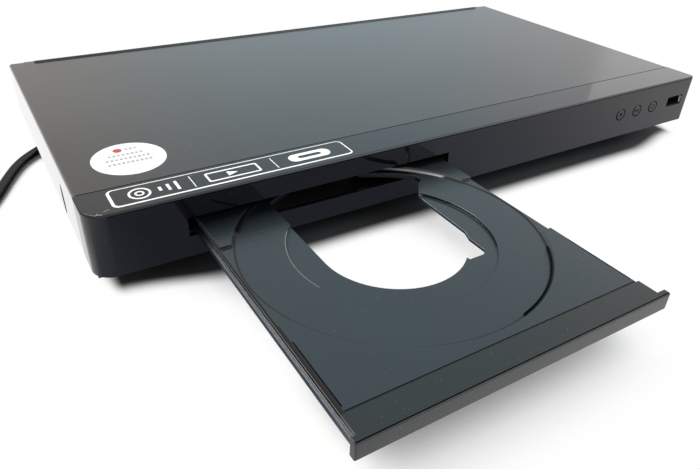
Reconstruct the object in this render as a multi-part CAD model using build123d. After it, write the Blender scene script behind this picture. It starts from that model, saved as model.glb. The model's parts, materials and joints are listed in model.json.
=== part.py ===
from build123d import *
from math import acos, asin, atan2, cos, degrees, hypot, pi, radians, sin, sqrt, tan
import os

# Slim disc player with its drawer out. Millimetres, +Z up, the front faces -Y.
# The origin lies on the table, midway across the cabinet and midway from the open drawer's
# front to the back of the rear sockets.

# Cabinet
cabinet_width = 360.0
cabinet_depth = 192.0  # front face to rear wall
face_height = 27.5
foot_height = 7.5
corner_r = (8.5, 3.0)  # upright front corners, left and right
face_wall = 2.2
strip_depth = 19.5  # top strip that belongs to the front moulding
lip_depth = 8.0  # bottom lip of the front moulding
edge_r = 0.8
seam = 0.25
cover_gauge = 0.8
cover_bend = 1.6
chassis_gauge = 0.8
chassis_gap = 0.15
flange_height = 12.0
bead_r = 1.25
bead_rise = 0.9
bead_inset = 13.0  # from the cabinet's side to the bead's end
rear_tab = (14.0, 10.5)
rear_screw_inset = 15.0
rear_screw_z = 29.0
rear_screw_head = (3.0, 1.6)
rear_screw_shank = 1.4
vent_count = (6, 2)  # columns and rows
vents = (5.5, 2.0, 20.0)  # step, slot width and length
vents_at = (31.0, 92.0)
side_slot = (1.8, 11.0)  # width and height
side_slot_back = 54.0
side_slot_z = 16.6
foot_r = 9.0
foot_inset = (28.0, 30.0)
socket_proud = 7.5

# Drawer
tray_travel = 123.5
tray_x = -77.3  # the drawer's middle
tray_length = 168.0  # from the door's front face
tray_half = 61.0
rail_half = 62.7
rail_wall = 3.3
rail_floor_z = 17.6
rail_top_z = 20.4
rail_step = (0.7, 0.5)  # small step along the rail's outer top edge
deck_z = 23.15
plate_floor_z = 19.4
rear_bar_floor_z = 20.4
disc_back = 77.1  # from the door's front face to the disc's centre
disc_r = 60.2
disc_depth = 1.4
disc_slope = 1.3
small_disc_r = 41.0
small_disc_depth = 1.0
side_open = 24.6  # half length of the low stretch at the tray's sides
side_rise = 0.3
hole_r = 29.5
hole_right = [(19.9, -23.6), (26.8, -23.5), (29.0, -21.4), (29.0, -12.4), (30.8, -7.6),
              (31.2, 21.0), (31.8, 25.3), (36.7, 32.5), (40.8, 36.0), (40.4, 39.5)]
hole_rear_r = 56.4
sled_slot_half = 18.0
sled_slot_back = 68.5
door_width = 128.9
door_height = 7.0
door_gauge = 2.7
door_z = 17.4
door_flange_half = 62.4
door_flange_depth = 8.75
door_flange_gauge = 1.5
slot_side_gap = 0.9
slot_low_gap = 0.55
slot_high_gap = 0.85
slot_edge = 0.5

# Buttons, USB socket and the board behind them
button_insets = (63.7, 49.2, 34.7)  # from the cabinet's right side
button_z = 21.3
button_r = 3.3
button_gap = 0.2
button_travel = 0.8
button_flange = (4.6, 1.0)
button_stem_r = 1.5
usb_inset = 14.5
usb_z = 21.8
usb_hole = (13.6, 6.0)
usb_shell = (13.2, 5.6, 14.0)
usb_wall = 0.35
usb_tongue = (9.6, 1.9, 8.0)
key_board_gauge = 1.2
key_board_back = 10.5
key_board_rim = (10.0, 9.5)  # beyond the outer buttons
key_board_z = (12.5, 30.0)
key_foot = (5.5, 9.9)  # depth and top
key_tongue = (2.0, 4.0, 3.0)  # half width, and places inside the buttons
switch_size = (6.0, 6.0, 3.4)  # the last is its depth with the plunger
switch_plunger = (1.7, 0.6)
switch_gap = 0.1

# Loader
rail_side_gap = 2.3  # from the drawer's rail to the loader's wall
loader_wall = 2.0
loader_floor_z = 9.3
loader_floor = 1.5
loader_top_z = 22.6
loader_behind = 8.0  # how far the loader reaches behind the traverse's pivot
runner_lap = 2.3  # how far a runner reaches under the rail
runner_gauge = 1.7
runner_gap = 0.2
tab_lap = 0.9
tab_gap = 0.3
tab_size = (10.0, 1.5)
tab_backs = (14.0, 68.0, 122.0)
window_half = 52.0
rear_bar_ahead = 3.5  # from the rear bar's front edge to the pivot
ear_r = 6.0
ear_backs = (15.0, 4.0)  # behind the front face, and ahead of the pivot
mount_r = 2.4
damper_r = 5.0
damper_gauge = 1.0

# Drawer's gear train
module = 1.0
pressure = 20.0
backlash = 0.32
addendum = 0.95
dedendum = 1.25
rack_x = -52.0  # pitch line, from the drawer's middle
rack_gauge = 3.5
rack_start = 18.0
rack_end = 160.0
rack_z = 17.3
train_back = 27.0
rack_teeth_gear = 16
big_teeth = 28
pinion_teeth = 12
wheel_z = (13.6, 16.0)
upper_z = (16.2, 19.1)
axle_r = 1.5
axle_gap = 0.06
belt_gauge = 1.2
pulley_groove_r = 9.0
pulley_flange = 1.0
motor_groove_r = 2.4
pulley_z = (16.4, 18.8)
loader_motor_x = 20.0
loader_motor_r = 10.0
loader_motor_height = 5.2

# Traverse with the spindle and the laser sled
spindle_back = 77.1
front_drop = 6.10485  # how far the traverse's front edge hangs at rest
pivot_ahead = 30.0  # from the pivot to the rear wall
pivot_z = 15.5
pivot_r = 1.5
ear_gap = 0.5
ear_gauge = 4.0
ear_half = 3.5
traverse_z = (15.2, 17.0)
traverse_half = (40.0, 42.0)
traverse_front = 62.0
traverse_behind = 2.5
sled_window = (28.0, 34.5, 15.0)
spindle_motor_r = 10.5
spindle_motor_top = 20.8
turntable_r = 14.0
turntable_z = (21.2, 23.2)
spindle_cone = (7.35, 1.0, 5.0, 0.7)
rod_half = 23.0
rod_r = 1.2
rod_z = 17.6
rod_start = 12.0
rod_ahead = 6.9  # from the rods' rear end to the pivot
rod_gap = 0.05
holder = (3.0, 3.0)  # half width and depth of a block that holds a rod
sled_z = (14.0, 19.15)
sled_span = (12.0, 14.0)
sled_half = 27.0
lens_home = 24.0
sled_travel = 35.0
lens_house = (8.0, 22.2)
lens_r = 3.5
lens_rise = 0.5
screw_x = 31.0
screw_z = 14.6
screw_r = 1.4
screw_start = 12.6
screw_short = 8.0  # how far the screw stops before the rods' end
screw_bearing = (3.0, 1.3)
screw_gap = 0.06
sled_motor_r = 4.0
sled_motor_length = 10.0
motor_wall = 1.6
cam_half = 30.0
cam_gauge = 2.4
cam_z = (8.7, 19.1)
cam_travel = 18.0
cam_tongue = (5.0, 1.2)
cam_rest_gap = 0.1
hook_out = 44.0
hook_half = 4.0
cam_pin_r = 1.0
cam_pin_gap = 0.3
cam_pin_x = 10.0
cam_gap = 0.3

# Clamp
bridge_half_depth = 17.0
bridge_gauge = 1.0
bridge_z = 26.6
bridge_hole_r = 13.7
clamp_hub_r = 13.0
clamp_hub_z = 24.1
clamp_recess = (8.4, 1.8)
clamp_flange_r = 16.5
clamp_flange = 1.6
magnet_r = 7.0
magnet_height = 1.8

# Boards and what they carry
board_gauge = 1.6
board_z = 13.3
standoff_r = 3.0
screw_hole_r = 1.25
power_board_x = (4.0, 58.0)
power_board_span = (60.0, 10.0)  # from the front face, and from the rear wall
main_board_left = 66.0
main_board_inset = 8.0
main_board_span = (34.0, 1.4)
mains_inlet = (8.0, 12.0, 8.0)
mains_inlet_in = 9.0
transformer_size = (26.0, 24.0, 15.0)
transformer_at = (33.0, 104.0)
capacitor = (8.0, 25.0)
capacitor_at = (42.0, 134.0)
heatsink = (24.0, 24.0, 9.0)
heatsink_fins = 6
heatsink_at = (112.0, 84.0)
hdmi_leg = 7.0
hdmi_in = 18.0  # from the main board's left edge
hdmi_size = (15.2, 5.8, 12.0)
av_insets = (62.0, 48.0, 34.0)
av_z = 21.0
av_r = (5.2, 4.2, 1.6)
av_body = (44.0, 12.0, 7.0)  # width, depth and height above the jacks' axis
hdmi_z = 18.2

ribbon_width = 12.0
ribbon_gauge = 0.3
ribbon_back = 46.0
ribbon_lap = 12.0

# Power cord
cord_d = 5.0
gland_x = -95.0
gland_z = 15.0
gland_r = (6.0, 4.6, 3.3)
gland_out = 24.0
gland_in = 5.0
lead_r = 1.9
coil_centre = (-258.4, 8.0)
coil_r = 41.0
coil_pitch = 6.4
coil_layer = 5.6
coil_half_turns = 5  # in each of the two layers, with one more where it climbs
lead_bends = (0.08, 0.25, 0.5, 0.74)  # along the way from the relief to the power board
lead_off = (7.0, 10.4, 9.4, 10.2, 9.6)  # from the relief, at the start and at these bends
bridge_window = (24.0, 54.0, 9.0)
tail_run = (11.0, 24.0, 35.0)
tail_shift = 0.6
plug_size = (35.0, 36.0, 13.7)
plug_relief = (18.0, 4.2)
pin_size = (2.0, 19.0)
pin_spacing = 19.0

# Places worked out from the sizes above
y_face = (tray_travel - cabinet_depth - socket_proud) / 2
y_seam = y_face + strip_depth
y_rear = y_face + cabinet_depth
z_under = foot_height
z_top = foot_height + face_height
half_width = cabinet_width / 2
y_door = y_face - tray_travel
y_disc = y_door + disc_back
y_spindle = y_face + spindle_back
y_train = y_face + train_back
y_pivot = y_rear - pivot_ahead
lift_angle = degrees(asin(front_drop / (y_pivot - y_face - traverse_front)))
floor_top = z_under + chassis_gauge
rear_screw_x = (rear_screw_inset - half_width, 0.0, half_width - rear_screw_inset)
button_x = [half_width - inset for inset in button_insets]
usb_x = half_width - usb_inset
av_x = [half_width - inset for inset in av_insets]
hdmi_x = main_board_left + hdmi_in
loader_half = rail_half + rail_side_gap + loader_wall
runner_inner = rail_half - runner_lap
tab_reach = rail_half - tab_lap
rod_end = y_pivot - y_spindle - rod_ahead
rod_span = (rod_start, rod_end)
screw_span = (screw_start, rod_end - screw_short)
power_board = (*power_board_x, power_board_span[0], cabinet_depth - power_board_span[1])
main_board = (main_board_left, half_width - main_board_inset, main_board_span[0],
              cabinet_depth - main_board_span[1])
cord_z = cord_d / 2

cord_route = [
    (gland_x, y_rear + gland_out, gland_z),
    (gland_x, 189.0, gland_z),
    (-97.0, 201.0, 11.8),
    (-105.0, 211.2, 6.6),
    (-118.0, 215.2, 2.9),
    (-130.4, 210.2, cord_z),
    (-138.4, 197.0, cord_z),
    (-145.6, 177.5, cord_z),
    (-158.4, 150.0, cord_z),
    (-172.2, 122.2, cord_z),
    (-187.6, 92.0, cord_z),
    (-203.4, 60.6, cord_z),
    (coil_centre[0] + coil_r, 33.4, cord_z),
    (coil_centre[0] + coil_r, coil_centre[1] + cord_d, cord_z),
]


def block(x0, x1, y0, y1, z0, z1):
    middle = Pos((x0 + x1) / 2, (y0 + y1) / 2, (z0 + z1) / 2)
    return middle * Box(abs(x1 - x0), abs(y1 - y0), abs(z1 - z0))


def post(x, y, z0, z1, r):
    return Pos(x, y, (z0 + z1) / 2) * Cylinder(r, z1 - z0)


def rod_along_y(x, z, y0, y1, r):
    return Pos(x, (y0 + y1) / 2, z) * Rot(90, 0, 0) * Cylinder(r, y1 - y0)


def rod_along_x(y, z, x0, x1, r):
    return Pos((x0 + x1) / 2, y, z) * Rot(0, 90, 0) * Cylinder(r, x1 - x0)


def turned(x, y, points):
    """A solid turned about the upright line through x, y, from (radius, height) points."""
    profile = make_face(Polyline(*[(r, 0, z) for r, z in points], close=True))
    return Pos(x, y, 0) * revolve(profile, Axis.Z)


def save(solid, name):
    export_step(solid, f"parts/{name}.step")


# Cabinet pieces
def round_front(outline, wall):
    """Rounds the two front corners, each by its own radius less the wall."""
    for r, end in zip(corner_r, (0, -1)):
        corners = outline.vertices().group_by(Axis.Y)[0].sort_by(Axis.X)
        outline = fillet(corners[end], r - wall)
    return outline


def make_front_panel():
    middle_y = y_face + strip_depth / 2
    outline = Rectangle(cabinet_width, strip_depth)
    outline = round_front(outline, 0)
    shell = extrude(Pos(0, middle_y, z_under) * outline, face_height)
    shell = fillet(shell.faces().sort_by(Axis.Z)[-1].edges().filter_by(
        lambda e: e.center().Y < y_seam - 0.01), edge_r)
    inside = Rectangle(cabinet_width - 2 * face_wall, strip_depth)
    inside = round_front(inside, face_wall)
    shell -= extrude(Pos(0, middle_y + face_wall, z_under + face_wall) * inside,
                     face_height - 2 * face_wall)
    shell -= block(-half_width + face_wall, half_width - face_wall, y_face + lip_depth,
                   y_seam + 1, z_under - 1, z_under + face_wall + 1)
    opening = slot_opening()
    shell -= block(*opening[:2], y_face - 1, y_face + face_wall + 1, *opening[2:])
    for x in button_x:
        shell -= rod_along_y(x, button_z, y_face - 1, y_face + face_wall + 1,
                             button_r + button_gap)
    shell -= block(usb_x - usb_hole[0] / 2, usb_x + usb_hole[0] / 2, y_face - 1,
                   y_face + face_wall + 1, usb_z - usb_hole[1] / 2, usb_z + usb_hole[1] / 2)
    return shell


def slot_opening():
    half = door_width / 2 + slot_side_gap
    return (tray_x - half, tray_x + half, door_z - slot_low_gap,
            door_z + door_height + slot_high_gap)


def make_top_cover():
    """A folded steel sheet: top, two sides with a slot each, and a bead along the rear edge."""
    low = z_under + chassis_gauge
    height = z_top - low
    start = y_seam + seam
    outer = Rectangle(cabinet_width, height)
    outer = fillet(outer.vertices().sort_by(Axis.Y)[-2:], cover_bend)
    inner = Rectangle(cabinet_width - 2 * cover_gauge, height)
    inner = fillet(inner.vertices().sort_by(Axis.Y)[-2:], cover_bend - cover_gauge)
    profile = outer - Pos(0, -cover_gauge) * inner
    sheet = extrude(Plane.XZ.offset(-start) * Pos(0, (low + z_top) / 2) * profile,
                    -(y_rear - start))
    bead_y = y_rear - bead_r - 0.6
    bead = Pos(0, bead_y, z_top + bead_rise - bead_r) * Rot(0, 90, 0) * Cylinder(
        bead_r, cabinet_width - 2 * bead_inset)
    bead = chamfer(bead.edges(), bead_r * 0.4)
    sheet += bead & block(-half_width, half_width, bead_y - bead_r, bead_y + bead_r,
                          z_top - cover_gauge / 2, z_top + bead_rise)
    slot_y = y_face + side_slot_back
    sheet -= block(-half_width - 1, half_width + 1, slot_y - side_slot[0] / 2,
                   slot_y + side_slot[0] / 2, side_slot_z - side_slot[1] / 2,
                   side_slot_z + side_slot[1] / 2)
    tab_wide, tab_high = rear_tab
    for x in rear_screw_x:
        tab = block(x - tab_wide / 2, x + tab_wide / 2, y_rear, y_rear + cover_gauge,
                    z_top - tab_high, z_top)
        sheet += fillet(tab.edges().filter_by(Axis.Y).group_by(Axis.Z)[0], tab_wide / 4)
        sheet -= rod_along_y(x, rear_screw_z, y_rear - 1, y_rear + 2, rear_screw_shank + 0.1)
    return sheet


def chassis_half():
    return half_width - cover_gauge - chassis_gap


def standoffs():
    """Where the boards' and the loader's posts stand: x, y, radius and top."""
    places = []
    for x0, x1, y0, y1 in (main_board, power_board):
        for x in (x0 + 5, x1 - 5):
            for y in (y0 + 5, y1 - 5):
                places.append((x, y_face + y, standoff_r, board_z))
    return places


def loader_mounts():
    return [(tray_x + side * (loader_half + ear_r * 0.6), y)
            for side in (-1, 1) for y in (y_face + ear_backs[0], y_pivot - ear_backs[1])]


def make_bottom_chassis():
    half = chassis_half()
    front = y_face + lip_depth + seam
    front_half = half_width - face_wall - seam
    pan = block(-front_half, front_half, front, y_seam + 1, z_under, floor_top)
    pan += block(-half, half, y_seam + seam, y_rear, z_under, floor_top)
    for side in (-1, 1):
        pan += block(side * half, side * (half - chassis_gauge), y_seam + seam, y_rear,
                     z_under, z_under + flange_height)
    wall_top = z_top - cover_gauge
    wall = block(-half, half, y_rear - chassis_gauge, y_rear, z_under, wall_top)
    pan += fillet(wall.edges().filter_by(Axis.Y).group_by(Axis.Z)[-1], cover_bend)
    for x, y, r, top in standoffs():
        pan += post(x, y, z_under, top, r) - post(x, y, floor_top, top, screw_hole_r)
    for x, y in loader_mounts():
        pan += post(x, y, z_under, loader_floor_z + loader_floor, mount_r)
        pan -= post(x, y, floor_top, loader_floor_z + loader_floor, screw_hole_r)
    back_cut = (y_rear - chassis_gauge - 1, y_rear + 1)
    pan -= block(hdmi_x - hdmi_size[0] / 2 - 0.3, hdmi_x + hdmi_size[0] / 2 + 0.3, *back_cut,
                 hdmi_z - hdmi_size[1] / 2 - 0.3, hdmi_z + hdmi_size[1] / 2 + 0.3)
    for x in av_x:
        pan -= rod_along_y(x, av_z, *back_cut, av_r[0] + 0.25)
    pan -= rod_along_y(gland_x, gland_z, *back_cut, gland_r[1] + 0.1)
    for x in rear_screw_x:
        pan -= rod_along_y(x, rear_screw_z, *back_cut, rear_screw_shank + 0.1)
    columns, rows = vent_count
    step, wide, long = vents
    for row in range(rows):
        for column in range(columns):
            x = vents_at[0] + (column - (columns - 1) / 2) * step
            y = y_face + vents_at[1] + (row - (rows - 1) / 2) * (long + step)
            pan -= block(x - wide / 2, x + wide / 2, y - long / 2, y + long / 2,
                         z_under - 1, floor_top + 1)
    return pan


def make_feet():
    feet = []
    for side in (-1, 1):
        for y in (y_face + foot_inset[1], y_rear - foot_inset[1]):
            x = side * (half_width - foot_inset[0])
            feet.append(turned(x, y, [(0, 0), (foot_r - 0.6, 0), (foot_r, 0.6),
                                      (foot_r + 0.8, foot_height - 1), (foot_r + 0.8, foot_height),
                                      (0, foot_height)]))
    return Compound(feet)


def stem_end():
    """Where a button's stem ends, so that a full press brings it to its switch."""
    return y_face + key_board_back - switch_size[2] - switch_gap - button_travel


def make_button(x):
    """A round cap with a catch flange behind the panel and a stem that meets its switch."""
    flange_y = y_face + face_wall + 0.1
    cap = rod_along_y(x, button_z, y_face + 0.1, flange_y + button_flange[1], button_r)
    cap = chamfer(cap.edges().sort_by(Axis.Y)[0], 0.35)
    cap += rod_along_y(x, button_z, flange_y, flange_y + button_flange[1], button_flange[0])
    return cap + rod_along_y(x, button_z, flange_y + button_flange[1], stem_end(),
                             button_stem_r)


def make_key_board():
    y = y_face + key_board_back
    left, right = button_x[0] - key_board_rim[0], button_x[-1] + key_board_rim[1]
    low, high = key_board_z
    half, near, far = key_tongue
    board = block(left, right, y, y + key_board_gauge, low, high)
    foot = block(left, right, y, y + key_foot[0], floor_top, key_foot[1])
    slots = [block(x - half, x + half, y - 0.01, y + key_board_gauge + 0.01, key_foot[1] - 0.1,
                   low + 0.1)
             for x in (button_x[0] - near, button_x[-1] + far)]
    for tongue in slots:
        board += tongue
    return board + foot


def make_key_switches():
    bodies = []
    y = y_face + key_board_back
    wide, high, deep = switch_size
    plunger_r, plunger = switch_plunger
    for x in button_x:
        body = block(x - wide / 2, x + wide / 2, y - deep + plunger, y,
                     button_z - high / 2, button_z + high / 2)
        body = fillet(body.edges().filter_by(Axis.Y), 0.6)
        bodies.append(body + rod_along_y(x, button_z, y - deep, y - deep + plunger + 0.1,
                                         plunger_r))
    return Compound(bodies)


def make_usb_socket():
    """A pressed steel shell with its contact tongue held in a moulded block."""
    wide, high, deep = usb_shell
    front = y_face + 0.4
    shell = block(usb_x - wide / 2, usb_x + wide / 2, front, front + deep,
                  usb_z - high / 2, usb_z + high / 2)
    shell -= block(usb_x - wide / 2 + usb_wall, usb_x + wide / 2 - usb_wall, front - 1,
                   front + deep - 3, usb_z - high / 2 + usb_wall, usb_z + high / 2 - usb_wall)
    tongue = block(usb_x - usb_tongue[0] / 2, usb_x + usb_tongue[0] / 2,
                   front + deep - 3 - usb_tongue[2], front + deep - 2.9,
                   usb_z + 0.1, usb_z + 0.1 + usb_tongue[1])
    return shell + tongue


def make_usb_stand():
    front = y_face + 0.4
    stand = block(usb_x - 5.2, usb_x + 5.2, front + 3.5, front + 13, floor_top + 1.8,
                  usb_z - usb_shell[1] / 2)
    return stand + block(usb_x - 7.5, usb_x + 6.5, y_face + lip_depth + 1, front + 17,
                         floor_top, floor_top + 1.8)


# Drawer
def tray_hole():
    """The hole's outline about the disc's centre: round in front, straight at the left, stepped
    and flared at the right, round at the back, with a slot further back for the laser sled."""
    inner = (hole_right[0][0] - 6, 0)
    right = [inner] + hole_right + [(hole_right[-1][0], hole_rear_r), (inner[0], hole_rear_r)]
    hole = Circle(hole_r) + make_face(Polyline(*right, close=True))
    hole += Pos((inner[0] + 2 - hole_r) / 2, hole_rear_r / 2) * Rectangle(
        inner[0] + 2 + hole_r, hole_rear_r)
    hole &= Circle(hole_rear_r)
    return hole + Pos(0, sled_slot_back / 2) * Rectangle(2 * sled_slot_half, sled_slot_back)


def make_tray():
    """The drawer: a deck sunk for both disc sizes, two rails below it and the rack."""
    front = y_door + door_gauge
    rear = y_door + tray_length
    seat_rear = front + door_flange_depth
    tray = block(tray_x - tray_half, tray_x + tray_half, front, rear, plate_floor_z, deck_z)
    tray -= block(tray_x - tray_half, tray_x + tray_half, front - 1, seat_rear,
                  deck_z - door_flange_gauge, deck_z + 1)
    for side in (-1, 1):
        inner = tray_x + side * (rail_half - rail_wall)
        outer = tray_x + side * rail_half
        step_x = tray_x + side * (rail_half - rail_step[0])
        tray += block(inner, step_x, front, rear, rail_floor_z, rail_top_z)
        tray += block(step_x, outer, front, rear, rail_floor_z, rail_top_z - rail_step[1])
    tray -= block(tray_x - sled_slot_half - 8, tray_x + sled_slot_half + 8,
                  y_disc + sled_slot_back, rear + 1, plate_floor_z - 1, rear_bar_floor_z)
    floor = deck_z - disc_depth
    disc_seat = turned(tray_x, y_disc, [(0, floor), (disc_r, floor), (disc_r + disc_slope, deck_z),
                                        (disc_r + disc_slope, deck_z + 1), (0, deck_z + 1)])
    tray -= disc_seat
    tray -= block(tray_x - tray_half - 1, tray_x + tray_half + 1, y_disc - side_open,
                  y_disc + side_open, floor + side_rise, deck_z + 1)
    tray -= post(tray_x, y_disc, floor - small_disc_depth, deck_z + 1, small_disc_r)
    tray -= extrude(Pos(tray_x, y_disc, rail_floor_z - 1) * tray_hole(), deck_z)
    return tray + make_rack()


def make_rack():
    """A straight rack under the deck, its teeth facing the drawer's middle."""
    pitch = pi * module
    slope = tan(radians(pressure))
    half_pitch_line = pitch / 4 - backlash / 4
    x_pitch = tray_x + rack_x
    tip = x_pitch + addendum * module
    root = x_pitch - dedendum * module
    back = root - rack_gauge + dedendum
    tip_half = half_pitch_line - addendum * module * slope
    root_half = half_pitch_line + dedendum * module * slope
    first = y_door + rack_start
    count = int((rack_end - rack_start) / pitch) - 1
    # one tooth's middle lies level with the gear's axle when the drawer is out
    start = first + (y_train - first) % pitch + pitch / 2
    outline = [(back, start), (root, start)]
    for index in range(count):
        y = start + (index + 0.5) * pitch
        outline += [(root, y - root_half), (tip, y - tip_half), (tip, y + tip_half),
                    (root, y + root_half)]
    outline += [(root, start + count * pitch), (back, start + count * pitch)]
    face = make_face(Polyline(*outline, close=True))
    return extrude(Pos(0, 0, rack_z) * face, plate_floor_z + 0.2 - rack_z)


def make_tray_door():
    """The door closes the slot, with a flange over the drawer's front edge."""
    half = door_width / 2
    plate = block(tray_x - half, tray_x + half, y_door, y_door + door_gauge, door_z,
                  door_z + door_height)
    plate = chamfer(plate.faces().sort_by(Axis.Y)[0].edges(), 0.35)
    flange = block(tray_x - door_flange_half, tray_x + door_flange_half,
                   y_door + door_gauge - 0.5, y_door + door_gauge + door_flange_depth,
                   deck_z - door_flange_gauge, deck_z)
    return plate + flange


# Gears
def gear_points(teeth, turn):
    """The outline of one gear, its flanks drawn through three points of the involute."""
    r = module * teeth / 2
    base = r * cos(radians(pressure))
    half_at_pitch = (pi * module / 2 - backlash / 2) / 2 / r
    involute = tan(radians(pressure)) - radians(pressure)
    radii = [max(r - dedendum * module, 0.5), max(base, r - 0.45 * dedendum * module), r,
             r + addendum * module]
    halves = []
    for radius in radii:
        angle = acos(min(1.0, base / radius))
        halves.append(half_at_pitch + involute - (tan(angle) - angle))
    points = []
    for tooth in range(teeth):
        middle = turn + 2 * pi * tooth / teeth
        for radius, half in zip(radii, halves):
            points.append((radius * cos(middle - half), radius * sin(middle - half)))
        for radius, half in zip(reversed(radii), reversed(halves)):
            points.append((radius * cos(middle + half), radius * sin(middle + half)))
    return points


def gear(x, y, z0, z1, teeth, turn):
    face = make_face(Polyline(*gear_points(teeth, turn), close=True))
    return extrude(Pos(x, y, z0) * face, z1 - z0)


def drive_x():
    return tray_x + rack_x + module * rack_teeth_gear / 2


def pulley_x():
    return drive_x() + module * (big_teeth + pinion_teeth) / 2


def make_drive_gear():
    """A double gear: the small wheel drives the rack, the large one is driven by the pinion."""
    x = drive_x()
    tooth_gap = pi + pi / rack_teeth_gear  # a gap faces the rack's tooth
    wheel = gear(x, y_train, *wheel_z, big_teeth, 0)
    wheel += post(x, y_train, wheel_z[1] - 0.1, upper_z[0] + 0.1, module * rack_teeth_gear / 2 - 1.5)
    wheel += gear(x, y_train, *upper_z, rack_teeth_gear, tooth_gap)
    wheel += post(x, y_train, loader_floor_z + loader_floor, wheel_z[0] + 0.1, 3.0)
    return wheel - post(x, y_train, 0, upper_z[1] + 1, axle_r + axle_gap)


def make_pulley_gear():
    """A grooved pulley on top of the pinion that turns the double gear."""
    x = pulley_x()
    low, high = pulley_z
    flange_r = pulley_groove_r + pulley_flange
    middle = (low + high) / 2
    wheel = turned(x, y_train, [(0, low), (flange_r, low), (flange_r, low + 0.35),
                                (pulley_groove_r, middle - belt_gauge / 2),
                                (pulley_groove_r, middle + belt_gauge / 2),
                                (flange_r, high - 0.35), (flange_r, high), (0, high)])
    wheel += gear(x, y_train, wheel_z[0], low + 0.1, pinion_teeth, pi + pi / pinion_teeth)
    wheel += post(x, y_train, loader_floor_z + loader_floor, wheel_z[0] + 0.1, 2.8)
    return wheel - post(x, y_train, 0, high + 1, axle_r + axle_gap)


def make_motor_pulley():
    x = tray_x + loader_motor_x
    low, high = pulley_z
    middle = (low + high) / 2
    flange_r = motor_groove_r + pulley_flange
    wheel = turned(x, y_train, [(0, low - 0.2), (flange_r, low - 0.2), (flange_r, low + 0.35),
                                (motor_groove_r, middle - belt_gauge / 2),
                                (motor_groove_r, middle + belt_gauge / 2),
                                (flange_r, high - 0.35), (flange_r, high), (0, high)])
    return wheel - post(x, y_train, 0, high + 1, 1.0 + axle_gap)


def belt_face(r_big, r_small):
    """The outline round both pulleys, with straight runs that touch both circles."""
    span = tray_x + loader_motor_x - pulley_x()
    lean = acos((r_big - r_small) / span)
    big = (pulley_x(), y_train)
    small = (tray_x + loader_motor_x, y_train)

    def on(centre, r, angle):
        return (centre[0] + r * cos(angle), centre[1] + r * sin(angle))

    edges = [
        ThreePointArc(on(big, r_big, lean), on(big, r_big, pi), on(big, r_big, -lean)),
        Line(on(big, r_big, -lean), on(small, r_small, -lean)),
        ThreePointArc(on(small, r_small, -lean), on(small, r_small, 0), on(small, r_small, lean)),
        Line(on(small, r_small, lean), on(big, r_big, lean)),
    ]
    return make_face(Wire(edges))


def make_drive_belt():
    low = (pulley_z[0] + pulley_z[1] - belt_gauge) / 2
    gap = 0.05
    ring = belt_face(pulley_groove_r + gap + belt_gauge, motor_groove_r + gap + belt_gauge)
    ring -= belt_face(pulley_groove_r + gap, motor_groove_r + gap)
    return extrude(Pos(0, 0, low) * ring, belt_gauge)


def make_loader_motor():
    x = tray_x + loader_motor_x
    base = loader_floor_z + loader_floor
    can = post(x, y_train, base, base + loader_motor_height - 0.1, loader_motor_r)
    can = fillet(can.edges().sort_by(Axis.Z)[-1], 1.0)
    return can + post(x, y_train, base + 1, pulley_z[1] - 0.3, 1.0)


# Loader
def make_loader_base():
    """The moulded base: front deck with axles, runners for the drawer, rear ears."""
    low = loader_floor_z
    floor = low + loader_floor
    y0 = y_face + face_wall + 0.5
    y_low = y_face + lip_depth + seam
    y1 = y_pivot + loader_behind
    base = block(tray_x - loader_half, tray_x + loader_half, y_low, y1, low, floor)
    base -= block(tray_x - window_half, tray_x + window_half, cam_y()[0] - cam_gap,
                  y_pivot - rear_bar_ahead, low - 1, floor + 1)
    for side in (-1, 1):
        outer = tray_x + side * loader_half
        inner = tray_x + side * (loader_half - loader_wall)
        base += block(inner, outer, y_low, y1, low, loader_top_z)
        base += block(inner, outer, y0, y_low, floor, loader_top_z)
        top = rail_floor_z - runner_gap
        base += block(tray_x + side * runner_inner, inner, y0, y1, top - runner_gauge, top)
        for back in tab_backs:
            base += block(tray_x + side * tab_reach, inner, y_face + back,
                          y_face + back + tab_size[0], rail_top_z + tab_gap,
                          rail_top_z + tab_gap + tab_size[1])
        side_x = tray_x + side * traverse_half[side > 0]
        base += block(side_x + side * ear_gap, side_x + side * (ear_gap + ear_gauge),
                      y_pivot - ear_half, y_pivot + ear_half, low, pivot_z + ear_half)
        hook_x = tray_x + side * hook_out
        base += block(hook_x - hook_half, hook_x + hook_half, tongue_y() - cam_gap - 1.4,
                      tongue_y() - cam_gap, floor - 0.1, tongue_top() + 1.3)
        base += block(hook_x - hook_half, hook_x + hook_half, tongue_y() - cam_gap - 1.4,
                      tongue_y() + 1.6, tongue_top() + 0.2, tongue_top() + 1.3)
    base -= rod_along_x(y_pivot, pivot_z, tray_x - loader_half, tray_x + loader_half,
                        pivot_r + axle_gap) & block(
        tray_x - window_half, tray_x + window_half, y_face, y_rear, low, z_top)
    for x in (drive_x(), pulley_x()):
        base += post(x, y_train, low, upper_z[1] - 0.3, axle_r)
    for x, y in loader_mounts():
        base += post(x, y, low, floor, ear_r)
        base -= post(x, y, low - 1, floor + 1, mount_r + 0.2)
    return base


def make_loader_dampers():
    rings = []
    for x, y in loader_mounts():
        low = loader_floor_z - damper_gauge
        rings.append(post(x, y, low, loader_floor_z, damper_r)
                     - post(x, y, low - 1, loader_floor_z + 1, mount_r + 0.2))
    return Compound(rings)


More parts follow.
